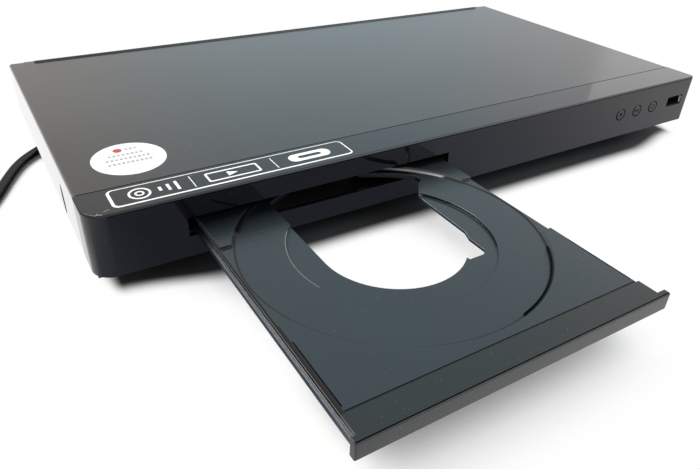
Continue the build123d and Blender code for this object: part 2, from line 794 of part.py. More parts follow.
def make_clamp_bridge():
    """A steel strap across the loader with the clamper's hole."""
    y0, y1 = y_spindle - bridge_half_depth, y_spindle + bridge_half_depth
    leg = loader_half - bridge_gauge
    top = bridge_z + bridge_gauge
    strap = block(tray_x - loader_half, tray_x + loader_half, y0, y1, bridge_z, top)
    for side in (-1, 1):
        strap += block(tray_x + side * leg, tray_x + side * loader_half, y0, y1,
                       loader_top_z, top)
        near, far, rim = bridge_window
        strap -= block(tray_x + side * near, tray_x + side * far, y0 + rim, y1 - rim,
                       bridge_z - 1, top + 1)
    return strap - post(tray_x, y_spindle, bridge_z - 1, top + 1, bridge_hole_r)


def make_clamper():
    top = bridge_z + bridge_gauge
    recess_r, recess = clamp_recess
    return turned(tray_x, y_spindle, [
        (0, clamp_hub_z + recess), (recess_r, clamp_hub_z + recess), (recess_r, clamp_hub_z),
        (clamp_hub_r, clamp_hub_z), (clamp_hub_r, top + 0.1), (clamp_flange_r, top + 0.1),
        (clamp_flange_r, top + 0.1 + clamp_flange), (0, top + 0.1 + clamp_flange)])


def make_clamp_magnet():
    low = bridge_z + bridge_gauge + 0.1 + clamp_flange
    return post(tray_x, y_spindle, low, low + magnet_height, magnet_r)


# Traverse. Its pieces are drawn level, as when a disc plays, and then let down to rest.
def let_down(solid):
    pivot = Pos(0, y_pivot, pivot_z)
    return pivot * Rot(lift_angle, 0, 0) * Pos(0, -y_pivot, -pivot_z) * solid


def make_traverse_frame():
    low, high = traverse_z
    y0, y1 = y_face + traverse_front, y_pivot + traverse_behind
    frame = block(tray_x - traverse_half[0], tray_x + traverse_half[1], y0, y1, low, high)
    left, right, front = sled_window
    back = rod_end - holder[1]
    frame -= block(tray_x - left, tray_x + right, y_spindle + front, y_spindle + back,
                   low - 1, high + 1)
    frame -= post(tray_x, y_spindle, low - 1, high + 1, spindle_motor_r + 0.1)
    holder_half, holder_depth = holder
    for x in (-rod_half, rod_half):
        for y in (rod_span[0], rod_span[1] - holder_depth):
            frame += block(tray_x + x - holder_half, tray_x + x + holder_half, y_spindle + y,
                           y_spindle + y + holder_depth, low, rod_z + rod_r / 3)
        frame -= rod_along_y(tray_x + x, rod_z, y_spindle + rod_span[0],
                             y_spindle + rod_span[1], rod_r + 0.02)
    x, back = tray_x + screw_x, y_spindle + screw_span[1]
    bearing_half, bearing_wall = screw_bearing
    frame += block(x - bearing_half, x + bearing_half, y_spindle + screw_span[0] - 1,
                   y_spindle + front, screw_z - bearing_wall, high)
    frame -= rod_along_y(x, screw_z, y_spindle + screw_span[0] - 0.1, y_spindle + front + 1,
                         screw_r + screw_gap)
    frame -= rod_along_y(x, screw_z, back, back + sled_motor_length + 1, sled_motor_r + 0.1)
    frame += block(x - sled_motor_r, x + sled_motor_r + 1.5, back - motor_wall, back,
                   screw_z - sled_motor_r + 0.3, high)
    frame -= rod_along_y(x, screw_z, back - motor_wall - 1, back + 1, screw_r + 0.3)
    pin_reach = ear_gap + ear_gauge + 1.0
    frame += rod_along_x(y_pivot, pivot_z, tray_x - traverse_half[0] - pin_reach,
                         tray_x - traverse_half[0] + 1, pivot_r)
    frame += rod_along_x(y_pivot, pivot_z, tray_x + traverse_half[1] - 1,
                         tray_x + traverse_half[1] + pin_reach, pivot_r)
    for x in (-cam_pin_x, cam_pin_x):
        frame += rod_along_y(tray_x + x, high, cam_y()[0] - 0.2, y0 + 1.5, cam_pin_r)
    return let_down(frame)


def cam_y():
    """The cam slider's front and back faces."""
    back = y_face + traverse_front - 2.2
    return (back - cam_gauge, back)


def tongue_y():
    """The front edge of the tongue by which the slider lies on the loader's deck."""
    return cam_y()[0] - cam_tongue[0]


def tongue_top():
    return loader_floor_z + loader_floor + cam_rest_gap + cam_tongue[1]


def cam_pin_height(angle):
    """The pin's height at the slider's middle when the traverse is turned up from rest."""
    y = (cam_y()[0] + cam_y()[1]) / 2
    turn = radians(lift_angle - angle)
    return pivot_z + (y - y_pivot) * sin(turn) + (traverse_z[1] - pivot_z) * cos(turn)


def make_cam_slider():
    """A bar that slides sideways, with two sloped slots that lift the traverse's pins."""
    y0, y1 = cam_y()
    slider = block(tray_x - cam_half - cam_travel / 2, tray_x + cam_half, y0, y1, *cam_z)
    slider += block(tray_x - hook_out - hook_half, tray_x + cam_half, tongue_y(), y0 + 0.5,
                    tongue_top() - cam_tongue[1], tongue_top())
    r = cam_pin_r + cam_pin_gap
    low, high = cam_pin_height(0), cam_pin_height(lift_angle)
    for x in (-cam_pin_x, cam_pin_x):
        start, end = (tray_x + x, low), (tray_x + x - cam_travel, high)
        slot = SlotCenterToCenter(hypot(cam_travel, high - low), 2 * r)
        lean = degrees(atan2(high - low, -cam_travel))
        middle = Pos((start[0] + end[0]) / 2, (start[1] + end[1]) / 2)
        slider -= extrude(Plane.XZ.offset(-(y0 - 1)) * middle * Rot(0, 0, lean) * slot,
                          -(y1 - y0 + 2))
    return slider


def make_spindle_motor():
    low = traverse_z[0]
    can = post(tray_x, y_spindle, low, spindle_motor_top, spindle_motor_r)
    can = fillet(can.edges().sort_by(Axis.Z)[-1], 0.8)
    can += block(tray_x - 5, tray_x + 5, y_spindle - spindle_motor_r - 3,
                 y_spindle - spindle_motor_r + 2, traverse_z[1], traverse_z[1] + 0.8)
    return let_down(can + post(tray_x, y_spindle, low + 1, turntable_z[1] - 0.4, 1.0))


def make_turntable():
    low, high = turntable_z
    cone_r, cone_rise, tip_r, tip_rise = spindle_cone
    seat_z = high + cone_rise
    table = turned(tray_x, y_spindle, [
        (0, low), (turntable_r, low), (turntable_r, high), (cone_r, high), (cone_r, seat_z),
        (tip_r, seat_z + tip_rise), (0, seat_z + tip_rise)])
    return let_down(table - post(tray_x, y_spindle, 0, high - 0.3, 1.0 + axle_gap))


def make_guide_rods():
    return let_down(Compound([
        rod_along_y(tray_x + x, rod_z, y_spindle + rod_span[0], y_spindle + rod_span[1], rod_r)
        for x in (-rod_half, rod_half)]))


def lens_y():
    return y_spindle + lens_home


def make_laser_sled():
    """The optical sled: a body on both rods, the lens housing and the arm to the screw."""
    y0, y1 = lens_y() - sled_span[0] + 4, lens_y() + sled_span[1]
    low, high = sled_z
    sled = block(tray_x - sled_half, tray_x + sled_half - 4, y0, y1, low + 1, high)
    sled = chamfer(sled.edges().filter_by(Axis.Z), 3.0)
    sled -= rod_along_y(tray_x - rod_half, rod_z, y0 - 1, y1 + 1, rod_r + rod_gap)
    sled += block(tray_x + sled_half - 5, tray_x + screw_x + 2.6, y0 + 6, y1 - 6, low - 0.5,
                  traverse_z[1] + 0.4)
    sled += block(tray_x + 15, tray_x + rod_half + 3, y0 + 6, y1 - 6, low + 1, high)
    sled -= rod_along_y(tray_x + rod_half, rod_z, y0 - 1, y1 + 1, rod_r + rod_gap)
    sled -= rod_along_y(tray_x + screw_x, screw_z, y0, y1, screw_r + 0.08)
    half, top = lens_house
    house = block(tray_x - half, tray_x + half, lens_y() - half, lens_y() + half, high - 0.5, top)
    house = fillet(house.edges().filter_by(Axis.Z), 1.5)
    sled += house
    return let_down(sled - post(tray_x, lens_y(), top - 0.8, top + 1, lens_r + 0.1))


def make_lens():
    low = lens_house[1] - 0.8
    glass = post(tray_x, lens_y(), low, lens_house[1] + lens_rise, lens_r)
    return let_down(fillet(glass.edges().sort_by(Axis.Z)[-1], 0.9))


def make_sled_motor():
    y0 = y_spindle + screw_span[1]
    can = rod_along_y(tray_x + screw_x, screw_z, y0, y0 + sled_motor_length, sled_motor_r)
    return let_down(can - rod_along_y(tray_x + screw_x, screw_z, y0 - 1, y0 + 2.4, screw_r + 0.3))


def make_lead_screw():
    y0, y1 = y_spindle + screw_span[0], y_spindle + screw_span[1]
    screw = rod_along_y(tray_x + screw_x, screw_z, y0, y1 + 2, screw_r)
    return let_down(chamfer(screw.edges().sort_by(Axis.Y)[0], 0.4))


# Boards
def board(area):
    x0, x1, y0, y1 = area
    plate = block(x0, x1, y_face + y0, y_face + y1, board_z, board_top())
    for x in (x0 + 5, x1 - 5):
        for y in (y0 + 5, y1 - 5):
            plate -= post(x, y_face + y, board_z - 1, board_top() + 1, screw_hole_r + 0.3)
    return plate


def board_top():
    return board_z + board_gauge


def inlet_y():
    """The middle of the connector where the mains lead meets the power board."""
    return y_face + power_board[3] - mains_inlet[1] / 2 - mains_inlet_in


def make_power_board():
    wide, deep, high = mains_inlet
    x, y = power_board[0], inlet_y()
    return board(power_board) + block(x, x + wide, y - deep / 2, y + deep / 2, board_top(),
                                      board_top() + high)


def make_main_heatsink():
    wide, deep, high = heatsink
    fins = heatsink_fins
    x, y, z = heatsink_at[0], y_face + heatsink_at[1], board_top()
    chip = block(x - 14, x + 14, y - 14, y + 14, z, z + 1.6)
    sink = block(x - wide / 2, x + wide / 2, y - deep / 2, y + deep / 2, z + 1.6, z + 3.4)
    for index in range(fins):
        fin_x = x - wide / 2 + index * (wide - 1.6) / (fins - 1)
        sink += block(fin_x, fin_x + 1.6, y - deep / 2, y + deep / 2, z + 3.3, z + high)
    return chip + sink


def make_transformer():
    wide, deep, high = transformer_size
    x, y, z = transformer_at[0], y_face + transformer_at[1], board_top()
    core = block(x - wide / 2, x + wide / 2, y - deep / 2, y + deep / 2, z + 2, z + high - 2)
    coil = block(x - wide / 2 + 4, x + wide / 2 - 4, y - deep / 2 - 4, y + deep / 2 + 4, z,
                 z + high)
    return core + fillet(coil.edges().filter_by(Axis.Z), 3.0)


def make_capacitor():
    r, length = capacitor
    x, z = capacitor_at[0], board_top() + r
    y = y_face + capacitor_at[1]
    can = rod_along_y(x, z, y, y + length, r)
    return fillet(can.edges(), 1.0)


def make_hdmi_socket():
    wide, high, deep = hdmi_size
    back = y_rear + 0.3
    shell = block(hdmi_x - wide / 2, hdmi_x + wide / 2, back - deep, back, hdmi_z - high / 2,
                  hdmi_z + high / 2)
    shell = chamfer(shell.edges().filter_by(Axis.Y).group_by(Axis.Z)[0], 1.8)
    inside = block(hdmi_x - wide / 2 + 0.5, hdmi_x + wide / 2 - 0.5, back - deep + 3, back + 1,
                   hdmi_z - high / 2 + 0.5, hdmi_z + high / 2 - 0.5)
    shell -= chamfer(inside.edges().filter_by(Axis.Y).group_by(Axis.Z)[0], 1.6)
    tongue = block(hdmi_x - 5.2, hdmi_x + 5.2, back - deep + 2.9, back - 3, hdmi_z + 0.1,
                   hdmi_z + 1.3)
    leg = block(hdmi_x - wide / 2 + 2, hdmi_x + wide / 2 - 2, back - deep, back - deep + hdmi_leg,
                board_top(), hdmi_z - high / 2)
    return shell + tongue + leg


def make_av_sockets():
    """Three coaxial jacks on one moulded block."""
    middle = (av_x[0] + av_x[-1]) / 2
    y1 = y_rear - chassis_gauge
    wide, deep, high = av_body
    body = block(middle - wide / 2, middle + wide / 2, y1 - deep, y1, board_top(), av_z + high)
    sleeve_r, bore_r, pin_r = av_r
    for x in av_x:
        body += rod_along_y(x, av_z, y1 - 0.1, y_rear + socket_proud, sleeve_r)
        body -= rod_along_y(x, av_z, y1 - 3, y_rear + socket_proud + 1, bore_r)
        body += rod_along_y(x, av_z, y1 - 3.1, y_rear + socket_proud, 3.2)
        body -= rod_along_y(x, av_z, y1 - 1, y_rear + socket_proud + 1, pin_r)
    return body


def make_loader_ribbon():
    """The flat cable along the floor from the loader to the main board."""
    low = floor_top + 0.1
    top = board_top() + 0.1
    start, edge = tray_x + loader_half - 8, main_board[0]
    line = [(start, low), (edge - 9, low), (edge - 3.5, low + 3.5), (edge - 3.5, top - 1.5),
            (edge - 1, top), (edge + ribbon_lap, top)]
    over = [(start, low + ribbon_gauge), (edge - 9.3, low + ribbon_gauge),
            (edge - 3.5 - ribbon_gauge, low + 3.6), (edge - 3.5 - ribbon_gauge, top - 1.3),
            (edge - 1.2, top + ribbon_gauge), (edge + ribbon_lap, top + ribbon_gauge)]
    face = make_face(Polyline(*line, *reversed(over), close=True))
    return extrude(Plane.XZ.offset(-(y_face + ribbon_back)) * face, -ribbon_width)


def make_screws(places, z, head_r, head, shank_r, shank):
    screws = []
    for x, y in places:
        screw = post(x, y, z, z + head, head_r)
        screw = chamfer(screw.edges().sort_by(Axis.Z)[-1], head * 0.4)
        screws.append(screw + post(x, y, z - shank, z + 0.1, shank_r))
    return Compound(screws)


def make_rear_screws():
    """The screws that hold the cover's tabs to the rear wall."""
    screws = []
    head_r, head = rear_screw_head
    y = y_rear + cover_gauge
    for x in rear_screw_x:
        screw = rod_along_y(x, rear_screw_z, y, y + head, head_r)
        screw = chamfer(screw.edges().sort_by(Axis.Y)[-1], head * 0.4)
        screws.append(screw + rod_along_y(x, rear_screw_z, y - 3, y + 0.1, rear_screw_shank))
    return Compound(screws)


# Power cord
def route_radii(points):
    radii = []
    for a, b, c in zip(points, points[1:], points[2:]):
        run_in, run_out = Vector(*b) - Vector(*a), Vector(*c) - Vector(*b)
        turn = radians(run_in.get_angle(run_out))
        radii.append(0.45 * min(run_in.length, run_out.length) / tan(turn / 2))
    return radii


def tube_along(path, start, direction):
    section = Plane(origin=start, z_dir=direction) * Circle(cord_d / 2)
    return sweep(section, path)


def make_power_cord():
    radii = route_radii(cord_route)
    path = FilletPolyline(*cord_route, radius=radii)
    tube = tube_along(path, cord_route[0], Vector(*cord_route[1]) - Vector(*cord_route[0]))
    print("power_cord radii", [round(r, 1) for r in radii])
    print("power_cord length", round(path.length, 1), "volume over section times length",
          round(tube.volume / (pi * cord_d ** 2 / 4 * path.length), 4))
    return tube, path.length


def coil_arcs():
    """Half turns, seen from above clockwise: inwards below, one that climbs, outwards above."""
    x, y = coil_centre
    here, side, z = x + coil_r, 1, cord_z
    arcs = [Line((here, y + cord_d, z), (here, y, z))]
    radii = [coil_r - index * coil_pitch / 2 for index in range(coil_half_turns)]
    climb_r = radii[-1] - coil_pitch / 2
    steps = [(r, 0.0) for r in radii + [climb_r] + radii[::-1]]
    steps[coil_half_turns] = (climb_r, coil_layer)
    for radius, rise in steps:
        there = here - side * 2 * radius
        middle = ((here + there) / 2, y - side * hypot(radius, rise / 2), z + rise / 2)
        arcs.append(ThreePointArc((here, y, z), middle, (there, y, z + rise)))
        here, z, side = there, z + rise, -side
    end = (here, y - side * cord_d, z)
    return arcs + [Line((here, y, z), end)], end


def least_gap(arcs):
    """The least gap between turns of the coil, on points along its middle line."""
    places = []
    along = 0.0
    for arc in arcs:
        count = max(2, round(arc.length / 4))
        places += [(along + arc.length * index / count, arc @ (index / count))
                   for index in range(count)]
        along += arc.length
    return min((a - b).length for s, a in places for t, b in places
               if t - s > 4 * cord_d) - cord_d


def make_cord_coil():
    arcs, end = coil_arcs()
    path = Wire(arcs)
    tube = tube_along(path, arcs[0] @ 0, (0, -1, 0))
    print("cord_coil least gap", round(least_gap(arcs), 2), "length", round(path.length, 1),
          "volume over section times length",
          round(tube.volume / (pi * cord_d ** 2 / 4 * path.length), 4))
    return tube, path.length, end


def make_cord_tail(end):
    """The short end from the coil down to the plug, which lies on the table."""
    x, y, z = end
    low = plug_size[2] / 2
    first, second, third = tail_run
    route = [(x, y, z), (x, y + first, z), (x - tail_shift, y + second, low),
             (x - tail_shift, y + third, low)]
    path = FilletPolyline(*route, radius=route_radii(route))
    tube = tube_along(path, route[0], (0, 1, 0))
    print("cord_tail length", round(path.length, 1))
    return tube, path.length, route[-1]


def make_plug(entry):
    """A flat two-pin plug: a tapered relief, then the moulded body."""
    x, y, z = entry
    wide, long, high = plug_size
    relief, relief_r = plug_relief
    neck = Pos(x, y + relief / 2, z) * Rot(-90, 0, 0) * Cone(cord_d / 2 + 0.7, relief_r, relief)
    y0 = y + relief
    body = loft([
        Plane(origin=(x, y0 - 1, z), z_dir=(0, 1, 0)) * RectangleRounded(high - 2, 14, 4),
        Plane(origin=(x, y0 + 12, z), z_dir=(0, 1, 0)) * RectangleRounded(high, wide * 0.86, 5),
        Plane(origin=(x, y0 + long - relief, z), z_dir=(0, 1, 0)) * RectangleRounded(high, wide, 5)],
        ruled=True)
    return neck + body, y0 + long - relief


def make_plug_pins(entry, face):
    x, _, z = entry
    r, length = pin_size
    pins = []
    for side in (-1, 1):
        pin = rod_along_y(x + side * pin_spacing / 2, z, face, face + length, r)
        pins.append(fillet(pin.edges().sort_by(Axis.Y)[-1], r * 0.6))
    return Compound(pins)


def make_cord_gland():
    """The relief: a collar in the rear wall and a tapered, ribbed sleeve outside it."""
    collar_r, neck_r, end_r = gland_r
    wall_in, wall_out = y_rear - chassis_gauge, y_rear
    out = y_rear + gland_out
    gland = rod_along_y(gland_x, gland_z, wall_in - gland_in, wall_in, collar_r)
    gland += rod_along_y(gland_x, gland_z, wall_in - 0.1, wall_out + 0.1, neck_r)
    gland += rod_along_y(gland_x, gland_z, wall_out, wall_out + 2, collar_r)
    sleeve = Pos(gland_x, (wall_out + 2 + out) / 2, gland_z) * Rot(-90, 0, 0) * Cone(
        neck_r, end_r, out - wall_out - 2)
    for index in range(4):
        ring_y = wall_out + 5.5 + 4.2 * index
        sleeve -= rod_along_y(gland_x, gland_z, ring_y, ring_y + 1.2, collar_r) - rod_along_y(
            gland_x, gland_z, ring_y - 1, ring_y + 2, end_r - 0.2)
    return gland + sleeve


def make_mains_lead():
    """The lead along the rear wall's inside, from the relief to the power board's connector."""
    x0, y0 = gland_x, y_rear - chassis_gauge - gland_in
    low = floor_top + lead_r + 0.1
    x1, y1, z1 = power_board[0], inlet_y(), board_top() + mains_inlet[2] / 2
    start, off = lead_off[0], lead_off[1:]
    bends = [(x0 + share * (x1 - x0), y0 - drop) for share, drop in zip(lead_bends, off)]
    route = [(x0, y0, gland_z), (x0, y0 - start, gland_z), (*bends[0], gland_z - 3.4),
             *[(x, y, low) for x, y in bends[1:]],
             (x1 - 10, y0 - off[0], low + 1.5), (x1 - 5.4, y1 + 3, z1 - 1.5), (x1 - 4, y1, z1),
             (x1, y1, z1)]
    path = FilletPolyline(*route, radius=route_radii(route))
    section = Plane(origin=route[0], z_dir=(0, -1, 0)) * Circle(lead_r)
    return sweep(section, path)


os.makedirs("parts", exist_ok=True)
save(make_top_cover(), "top_cover")
save(make_bottom_chassis(), "bottom_chassis")
save(make_front_panel(), "front_panel")
save(make_feet(), "feet")
save(make_key_board(), "key_board")
save(make_key_switches(), "key_switches")
save(make_usb_socket(), "usb_socket")
save(make_usb_stand(), "usb_stand")
for name, x in zip(("eject_button", "play_button", "power_button"), button_x):
    save(make_button(x), name)
save(make_tray(), "tray")
save(make_tray_door(), "tray_door")
save(make_drive_gear(), "drive_gear")
save(make_pulley_gear(), "pulley_gear")
save(make_motor_pulley(), "motor_pulley")
save(make_drive_belt(), "drive_belt")
save(make_loader_motor(), "loader_motor")
save(make_loader_base(), "loader_base")
save(make_loader_dampers(), "loader_dampers")
save(make_screws(loader_mounts(), loader_floor_z + loader_floor, 3.4, 1.4, 1.2, 2.0), "loader_screws")
save(make_clamp_bridge(), "clamp_bridge")
save(make_clamper(), "clamper")
save(make_clamp_magnet(), "clamp_magnet")
save(make_traverse_frame(), "traverse_frame")
save(make_cam_slider(), "cam_slider")
save(make_spindle_motor(), "spindle_motor")
save(make_turntable(), "turntable")
save(make_guide_rods(), "guide_rods")
save(make_laser_sled(), "laser_sled")
save(make_lens(), "lens")
save(make_sled_motor(), "sled_motor")
save(make_lead_screw(), "lead_screw")
save(board(main_board), "main_board")
save(make_power_board(), "power_board")
save(make_main_heatsink(), "main_heatsink")
save(make_transformer(), "transformer")
save(make_capacitor(), "mains_capacitor")
save(make_hdmi_socket(), "hdmi_socket")
save(make_av_sockets(), "av_sockets")
save(make_loader_ribbon(), "loader_ribbon")
board_places = [(x, y) for x, y, r, top in standoffs()]
save(make_screws(board_places, board_top(), 2.8, 1.3, 1.2, 3.0), "board_screws")
save(make_rear_screws(), "rear_screws")
save(make_cord_gland(), "cord_gland")
save(make_mains_lead(), "mains_lead")
cord, cord_length = make_power_cord()
coil, coil_length, coil_end = make_cord_coil()
tail, tail_length, entry = make_cord_tail(coil_end)
plug, plug_face = make_plug(entry)
save(cord, "power_cord")
save(coil, "cord_coil")
save(tail, "cord_tail")
save(plug, "plug")
save(make_plug_pins(entry, plug_face), "plug_pins")
print("whole cord", round(cord_length + coil_length + tail_length, 1))
print("front face at y", y_face, "spindle at y", y_spindle, "pivot", y_pivot, pivot_z)
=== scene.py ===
import bpy
import bmesh
import json
import math
from mathutils import Matrix, Vector


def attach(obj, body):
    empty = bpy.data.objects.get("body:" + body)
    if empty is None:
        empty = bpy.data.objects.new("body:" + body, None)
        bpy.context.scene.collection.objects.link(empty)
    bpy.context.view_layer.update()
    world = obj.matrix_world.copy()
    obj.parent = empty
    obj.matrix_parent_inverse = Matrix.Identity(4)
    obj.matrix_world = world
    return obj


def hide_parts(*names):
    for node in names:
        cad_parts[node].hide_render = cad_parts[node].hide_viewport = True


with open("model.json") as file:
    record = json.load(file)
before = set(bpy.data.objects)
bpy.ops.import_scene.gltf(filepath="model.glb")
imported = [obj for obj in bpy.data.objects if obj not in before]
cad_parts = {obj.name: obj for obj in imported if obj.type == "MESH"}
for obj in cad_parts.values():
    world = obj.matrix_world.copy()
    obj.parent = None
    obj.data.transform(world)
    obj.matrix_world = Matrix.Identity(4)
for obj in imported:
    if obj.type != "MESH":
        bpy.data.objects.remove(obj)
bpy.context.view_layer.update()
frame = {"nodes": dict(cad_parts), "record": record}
nodes = frame["nodes"]
print("frame loaded:", len(nodes), "nodes")

mm = 0.001
sharp = math.radians(50)  # shading stays smooth over any flatter edge
upright = Matrix.Rotation(math.radians(90), 4, "X")  # turns a flat drawing to face the front

# The camera stands at the left front corner, a little above the player.
view = {
    "place": (-202.086, -248.613, 156.539),
    "right": (0.85341462, -0.51998321, 0.03606871),
    "up": (0.25698298, 0.4799537, 0.83881118),
    "back": (-0.45347904, -0.70658468, 0.54322634),
    "lens": 32.49,
    "sensor": 36.0,
    "clip": 0.01,
}


def makeCamera():
    lens = bpy.data.cameras.new("viewpoint")
    lens.lens = view["lens"]
    lens.sensor_width = view["sensor"]
    lens.clip_start = view["clip"]
    holder = bpy.data.objects.new("viewpoint", lens)
    bpy.context.scene.collection.objects.link(holder)
    turn = Matrix((view["right"], view["up"], view["back"])).transposed()
    holder.matrix_world = Matrix.Translation(Vector(view["place"]) * mm) @ turn.to_4x4()
    bpy.context.scene.camera = holder


makeCamera()
print("camera placed")


# One output socket, with Python's operators for shader maths.
class Wire:
    def __init__(self, graph, socket):
        self.graph = graph
        self.socket = socket

    def maths(self, operation, *values):
        sockets = dict(enumerate(values))
        return self.graph.add("ShaderNodeMath", {"operation": operation}, sockets)

    def __add__(self, other):
        return self.maths("ADD", self, other)

    __radd__ = __add__

    def __sub__(self, other):
        return self.maths("SUBTRACT", self, other)

    def __rsub__(self, other):
        return self.maths("SUBTRACT", other, self)

    def __mul__(self, other):
        return self.maths("MULTIPLY", self, other)

    __rmul__ = __mul__

    def root(self):
        return self.maths("SQRT", self)

    def away(self, middle=0.0):  # the distance from a middle value
        return self.maths("ABSOLUTE", self - middle)

    def highest(self, other):
        return self.maths("MAXIMUM", self, other)

    def step(self, low, high):  # 0 below low, 1 above high, smooth between
        return self.graph.add("ShaderNodeMapRange", {"interpolation_type": "SMOOTHSTEP"},
                              {"Value": self, "From Min": low, "From Max": high})

    def fade(self, low, high):  # 1 below low, 0 above high, smooth between
        return 1.0 - self.step(low, high)

    def band(self, rise, fall):  # 1 between a rising and a falling slope
        return self.step(*rise) * self.fade(*fall)


# A node tree that is built one node at a time.
class Graph:
    def __init__(self, tree):
        self.tree = tree

    def add(self, kind, settings=None, sockets=None, out=0):
        node = self.tree.nodes.new(kind)
        for name, value in (settings or {}).items():
            setattr(node, name, value)
        for name, value in (sockets or {}).items():
            if isinstance(value, Wire):
                self.tree.links.new(value.socket, node.inputs[name])
            else:
                node.inputs[name].default_value = value
        return Wire(self, node.outputs[out])

    def source(self, kind):  # all outputs of a node without inputs, by name
        return {socket.name: Wire(self, socket) for socket in self.tree.nodes.new(kind).outputs}

    def rays(self):
        path = self.source("ShaderNodeLightPath")
        return [path[name] for name in ("Is Camera Ray", "Is Glossy Ray", "Is Transmission Ray")]

    def parts(self, vector):
        node = self.add("ShaderNodeSeparateXYZ", None, {"Vector": vector}).socket.node
        return [Wire(self, socket) for socket in node.outputs]

    def mix(self, amount, low, high):  # of two colours
        return self.add("ShaderNodeMix", {"data_type": "RGBA"}, {
            0: amount, 6: low, 7: high}, out=2)


class Finish(Graph):
    def __init__(self, name, **constants):
        self.material = bpy.data.materials.new(name)
        self.material.use_nodes = True
        super().__init__(self.material.node_tree)
        self.shader = self.tree.nodes["Principled BSDF"]
        for key, value in constants.items():
            self.shader.inputs[key.replace("_", " ")].default_value = value
        self.place = self.source("ShaderNodeTexCoord")["Object"]

    def feed(self, name, wire):
        self.tree.links.new(wire.socket, self.shader.inputs[name])

    def noise(self, scale, detail=3.0, roughness=0.5, place=None):
        return self.add("ShaderNodeTexNoise", None, {
            "Vector": place or self.place, "Scale": scale, "Detail": detail,
            "Roughness": roughness})

    def stretched(self, size):
        return self.add("ShaderNodeMapping", None, {"Vector": self.place, "Scale": size})

    def specks(self, scale, size, share, patches=0.37, edge=0.03):  # sparse dots, such as dust
        cells = self.add("ShaderNodeTexVoronoi", {"feature": "F1"}, {
            "Vector": self.place, "Scale": scale, "Randomness": 1.0})
        chance = self.noise(scale * patches, detail=1.0).step(1.0 - share, 1.0 - share + edge)
        return cells.fade(size * 0.5, size) * chance

    def relief(self, height, distance):
        self.feed("Normal", self.add("ShaderNodeBump", None, {
            "Strength": 1.0, "Distance": distance, "Height": height}))


def grey(level, warm=0.0):
    return (level * (1.0 + warm), level, level * (1.0 - warm), 1.0)


# Satin dark paint on rolled sheet. Places in the finishes are in metres.
coverPaint = {
    "tones": ((0.021, 0.020, 0.020, 1.0), (0.026, 0.025, 0.025, 1.0)),
    "cloud": {"scale": 9.0},
    "cloudEdge": (0.35, 0.65),
    "cloudRough": 0.04,
    "grain": {"scale": 2600.0, "detail": 2.0},
    "grainRough": 0.05,
    "grainDepth": 0.000005,
    "dust": {"scale": 900.0, "size": 0.16, "share": 0.42},
    "dustTone": grey(0.3),
    "dustCover": 0.4,
    "rough": 0.15,
    "flankX": (0.1793, 0.1797),
    "flankShine": 0.1,
    "slotX": (0.1780, 0.1784),
    "slotMiddle": 0.016,
    "slotY": (0.0010, 0.0011),
    "slotZ": ((0.0108, 0.0110), (0.0222, 0.0224)),
}


def makeCoverSteel():
    look = coverPaint
    paint = Finish("coverSteel", Specular_IOR_Level=0.5, Coat_Roughness=0.05)
    x, y, z = paint.parts(paint.place)
    flank = x.away().step(*look["flankX"])  # the folded sides
    cut = x.away().step(*look["slotX"]) * y.away(look["slotMiddle"]).fade(*look["slotY"]) \
        * z.band(*look["slotZ"])  # bare edges of the side slot
    cloud = paint.noise(**look["cloud"])
    grain = paint.noise(**look["grain"])
    dust = paint.specks(**look["dust"])
    tone = paint.mix(cloud.step(*look["cloudEdge"]), *look["tones"])
    paint.feed("Base Color", paint.mix(dust * look["dustCover"], tone, look["dustTone"]))
    paint.feed("Roughness", (look["rough"] + cloud * look["cloudRough"]
                             + grain * look["grainRough"]
                             - flank * look["flankShine"]).highest(cut))
    paint.feed("Coat Weight", flank * (1.0 - cut))
    paint.relief(grain, look["grainDepth"])
    return paint.material


glossSkin = {
    "smear": {"scale": 28.0, "detail": 4.0, "roughness": 0.6},
    "smearEdge": (0.45, 0.75),
    "smearRough": 0.06,
    "dust": {"scale": 800.0, "size": 0.17},
    "dustTone": (0.3, 0.3, 0.31, 1.0),
    "dustCover": 0.35,
    "waves": {"scale": 90.0, "detail": 2.0},
    "waveDepth": 0.000008,
    "rubbedX": (-0.1765, -0.1745),
    "rubbedZ": ((0.0341, 0.0343), (0.03494, 0.03497)),
    "rubbedRough": 0.9,
}


def makeGloss(name, colour, rough, dustShare=0.36):
    look = glossSkin
    gloss = Finish(name, Specular_IOR_Level=0.5)
    x, _, z = gloss.parts(gloss.place)
    smear = gloss.noise(**look["smear"])
    dust = gloss.specks(share=dustShare, **look["dust"])
    gloss.feed("Base Color", gloss.mix(dust * look["dustCover"], colour, look["dustTone"]))
    rubbed = z.band(*look["rubbedZ"]) * x.fade(*look["rubbedX"])  # the left corner's rim
    gloss.feed("Roughness", (rough + smear.step(*look["smearEdge"]) * look["smearRough"])
               .highest(rubbed * look["rubbedRough"]))
    gloss.relief(gloss.noise(**look["waves"]), look["waveDepth"])
    return gloss.material


mouldedSkin = {
    "cloud": {"scale": 22.0},
    "cloudRough": 0.05,
    "grain": {"detail": 3.0, "roughness": 0.65},
    "grainRough": 0.12,
    "dust": {"scale": 1100.0, "size": 0.17},
    "dustTone": (0.45, 0.46, 0.47, 1.0),
    "dustCover": 0.55,
}


def makeMoulded(name, low, high, rough, grainScale=1800.0, depth=0.00002, dustShare=0.35):
    look = mouldedSkin
    skin = Finish(name, Specular_IOR_Level=0.5)
    cloud = skin.noise(**look["cloud"])
    grain = skin.noise(grainScale, **look["grain"])
    tone = skin.mix(cloud, low, high)
    if dustShare:
        dust = skin.specks(share=dustShare, **look["dust"])
        tone = skin.mix(dust * look["dustCover"], tone, look["dustTone"])
    skin.feed("Base Color", tone)
    skin.feed("Roughness", rough + grain * look["grainRough"] + cloud * look["cloudRough"])
    skin.relief(grain, depth)
    return skin.material


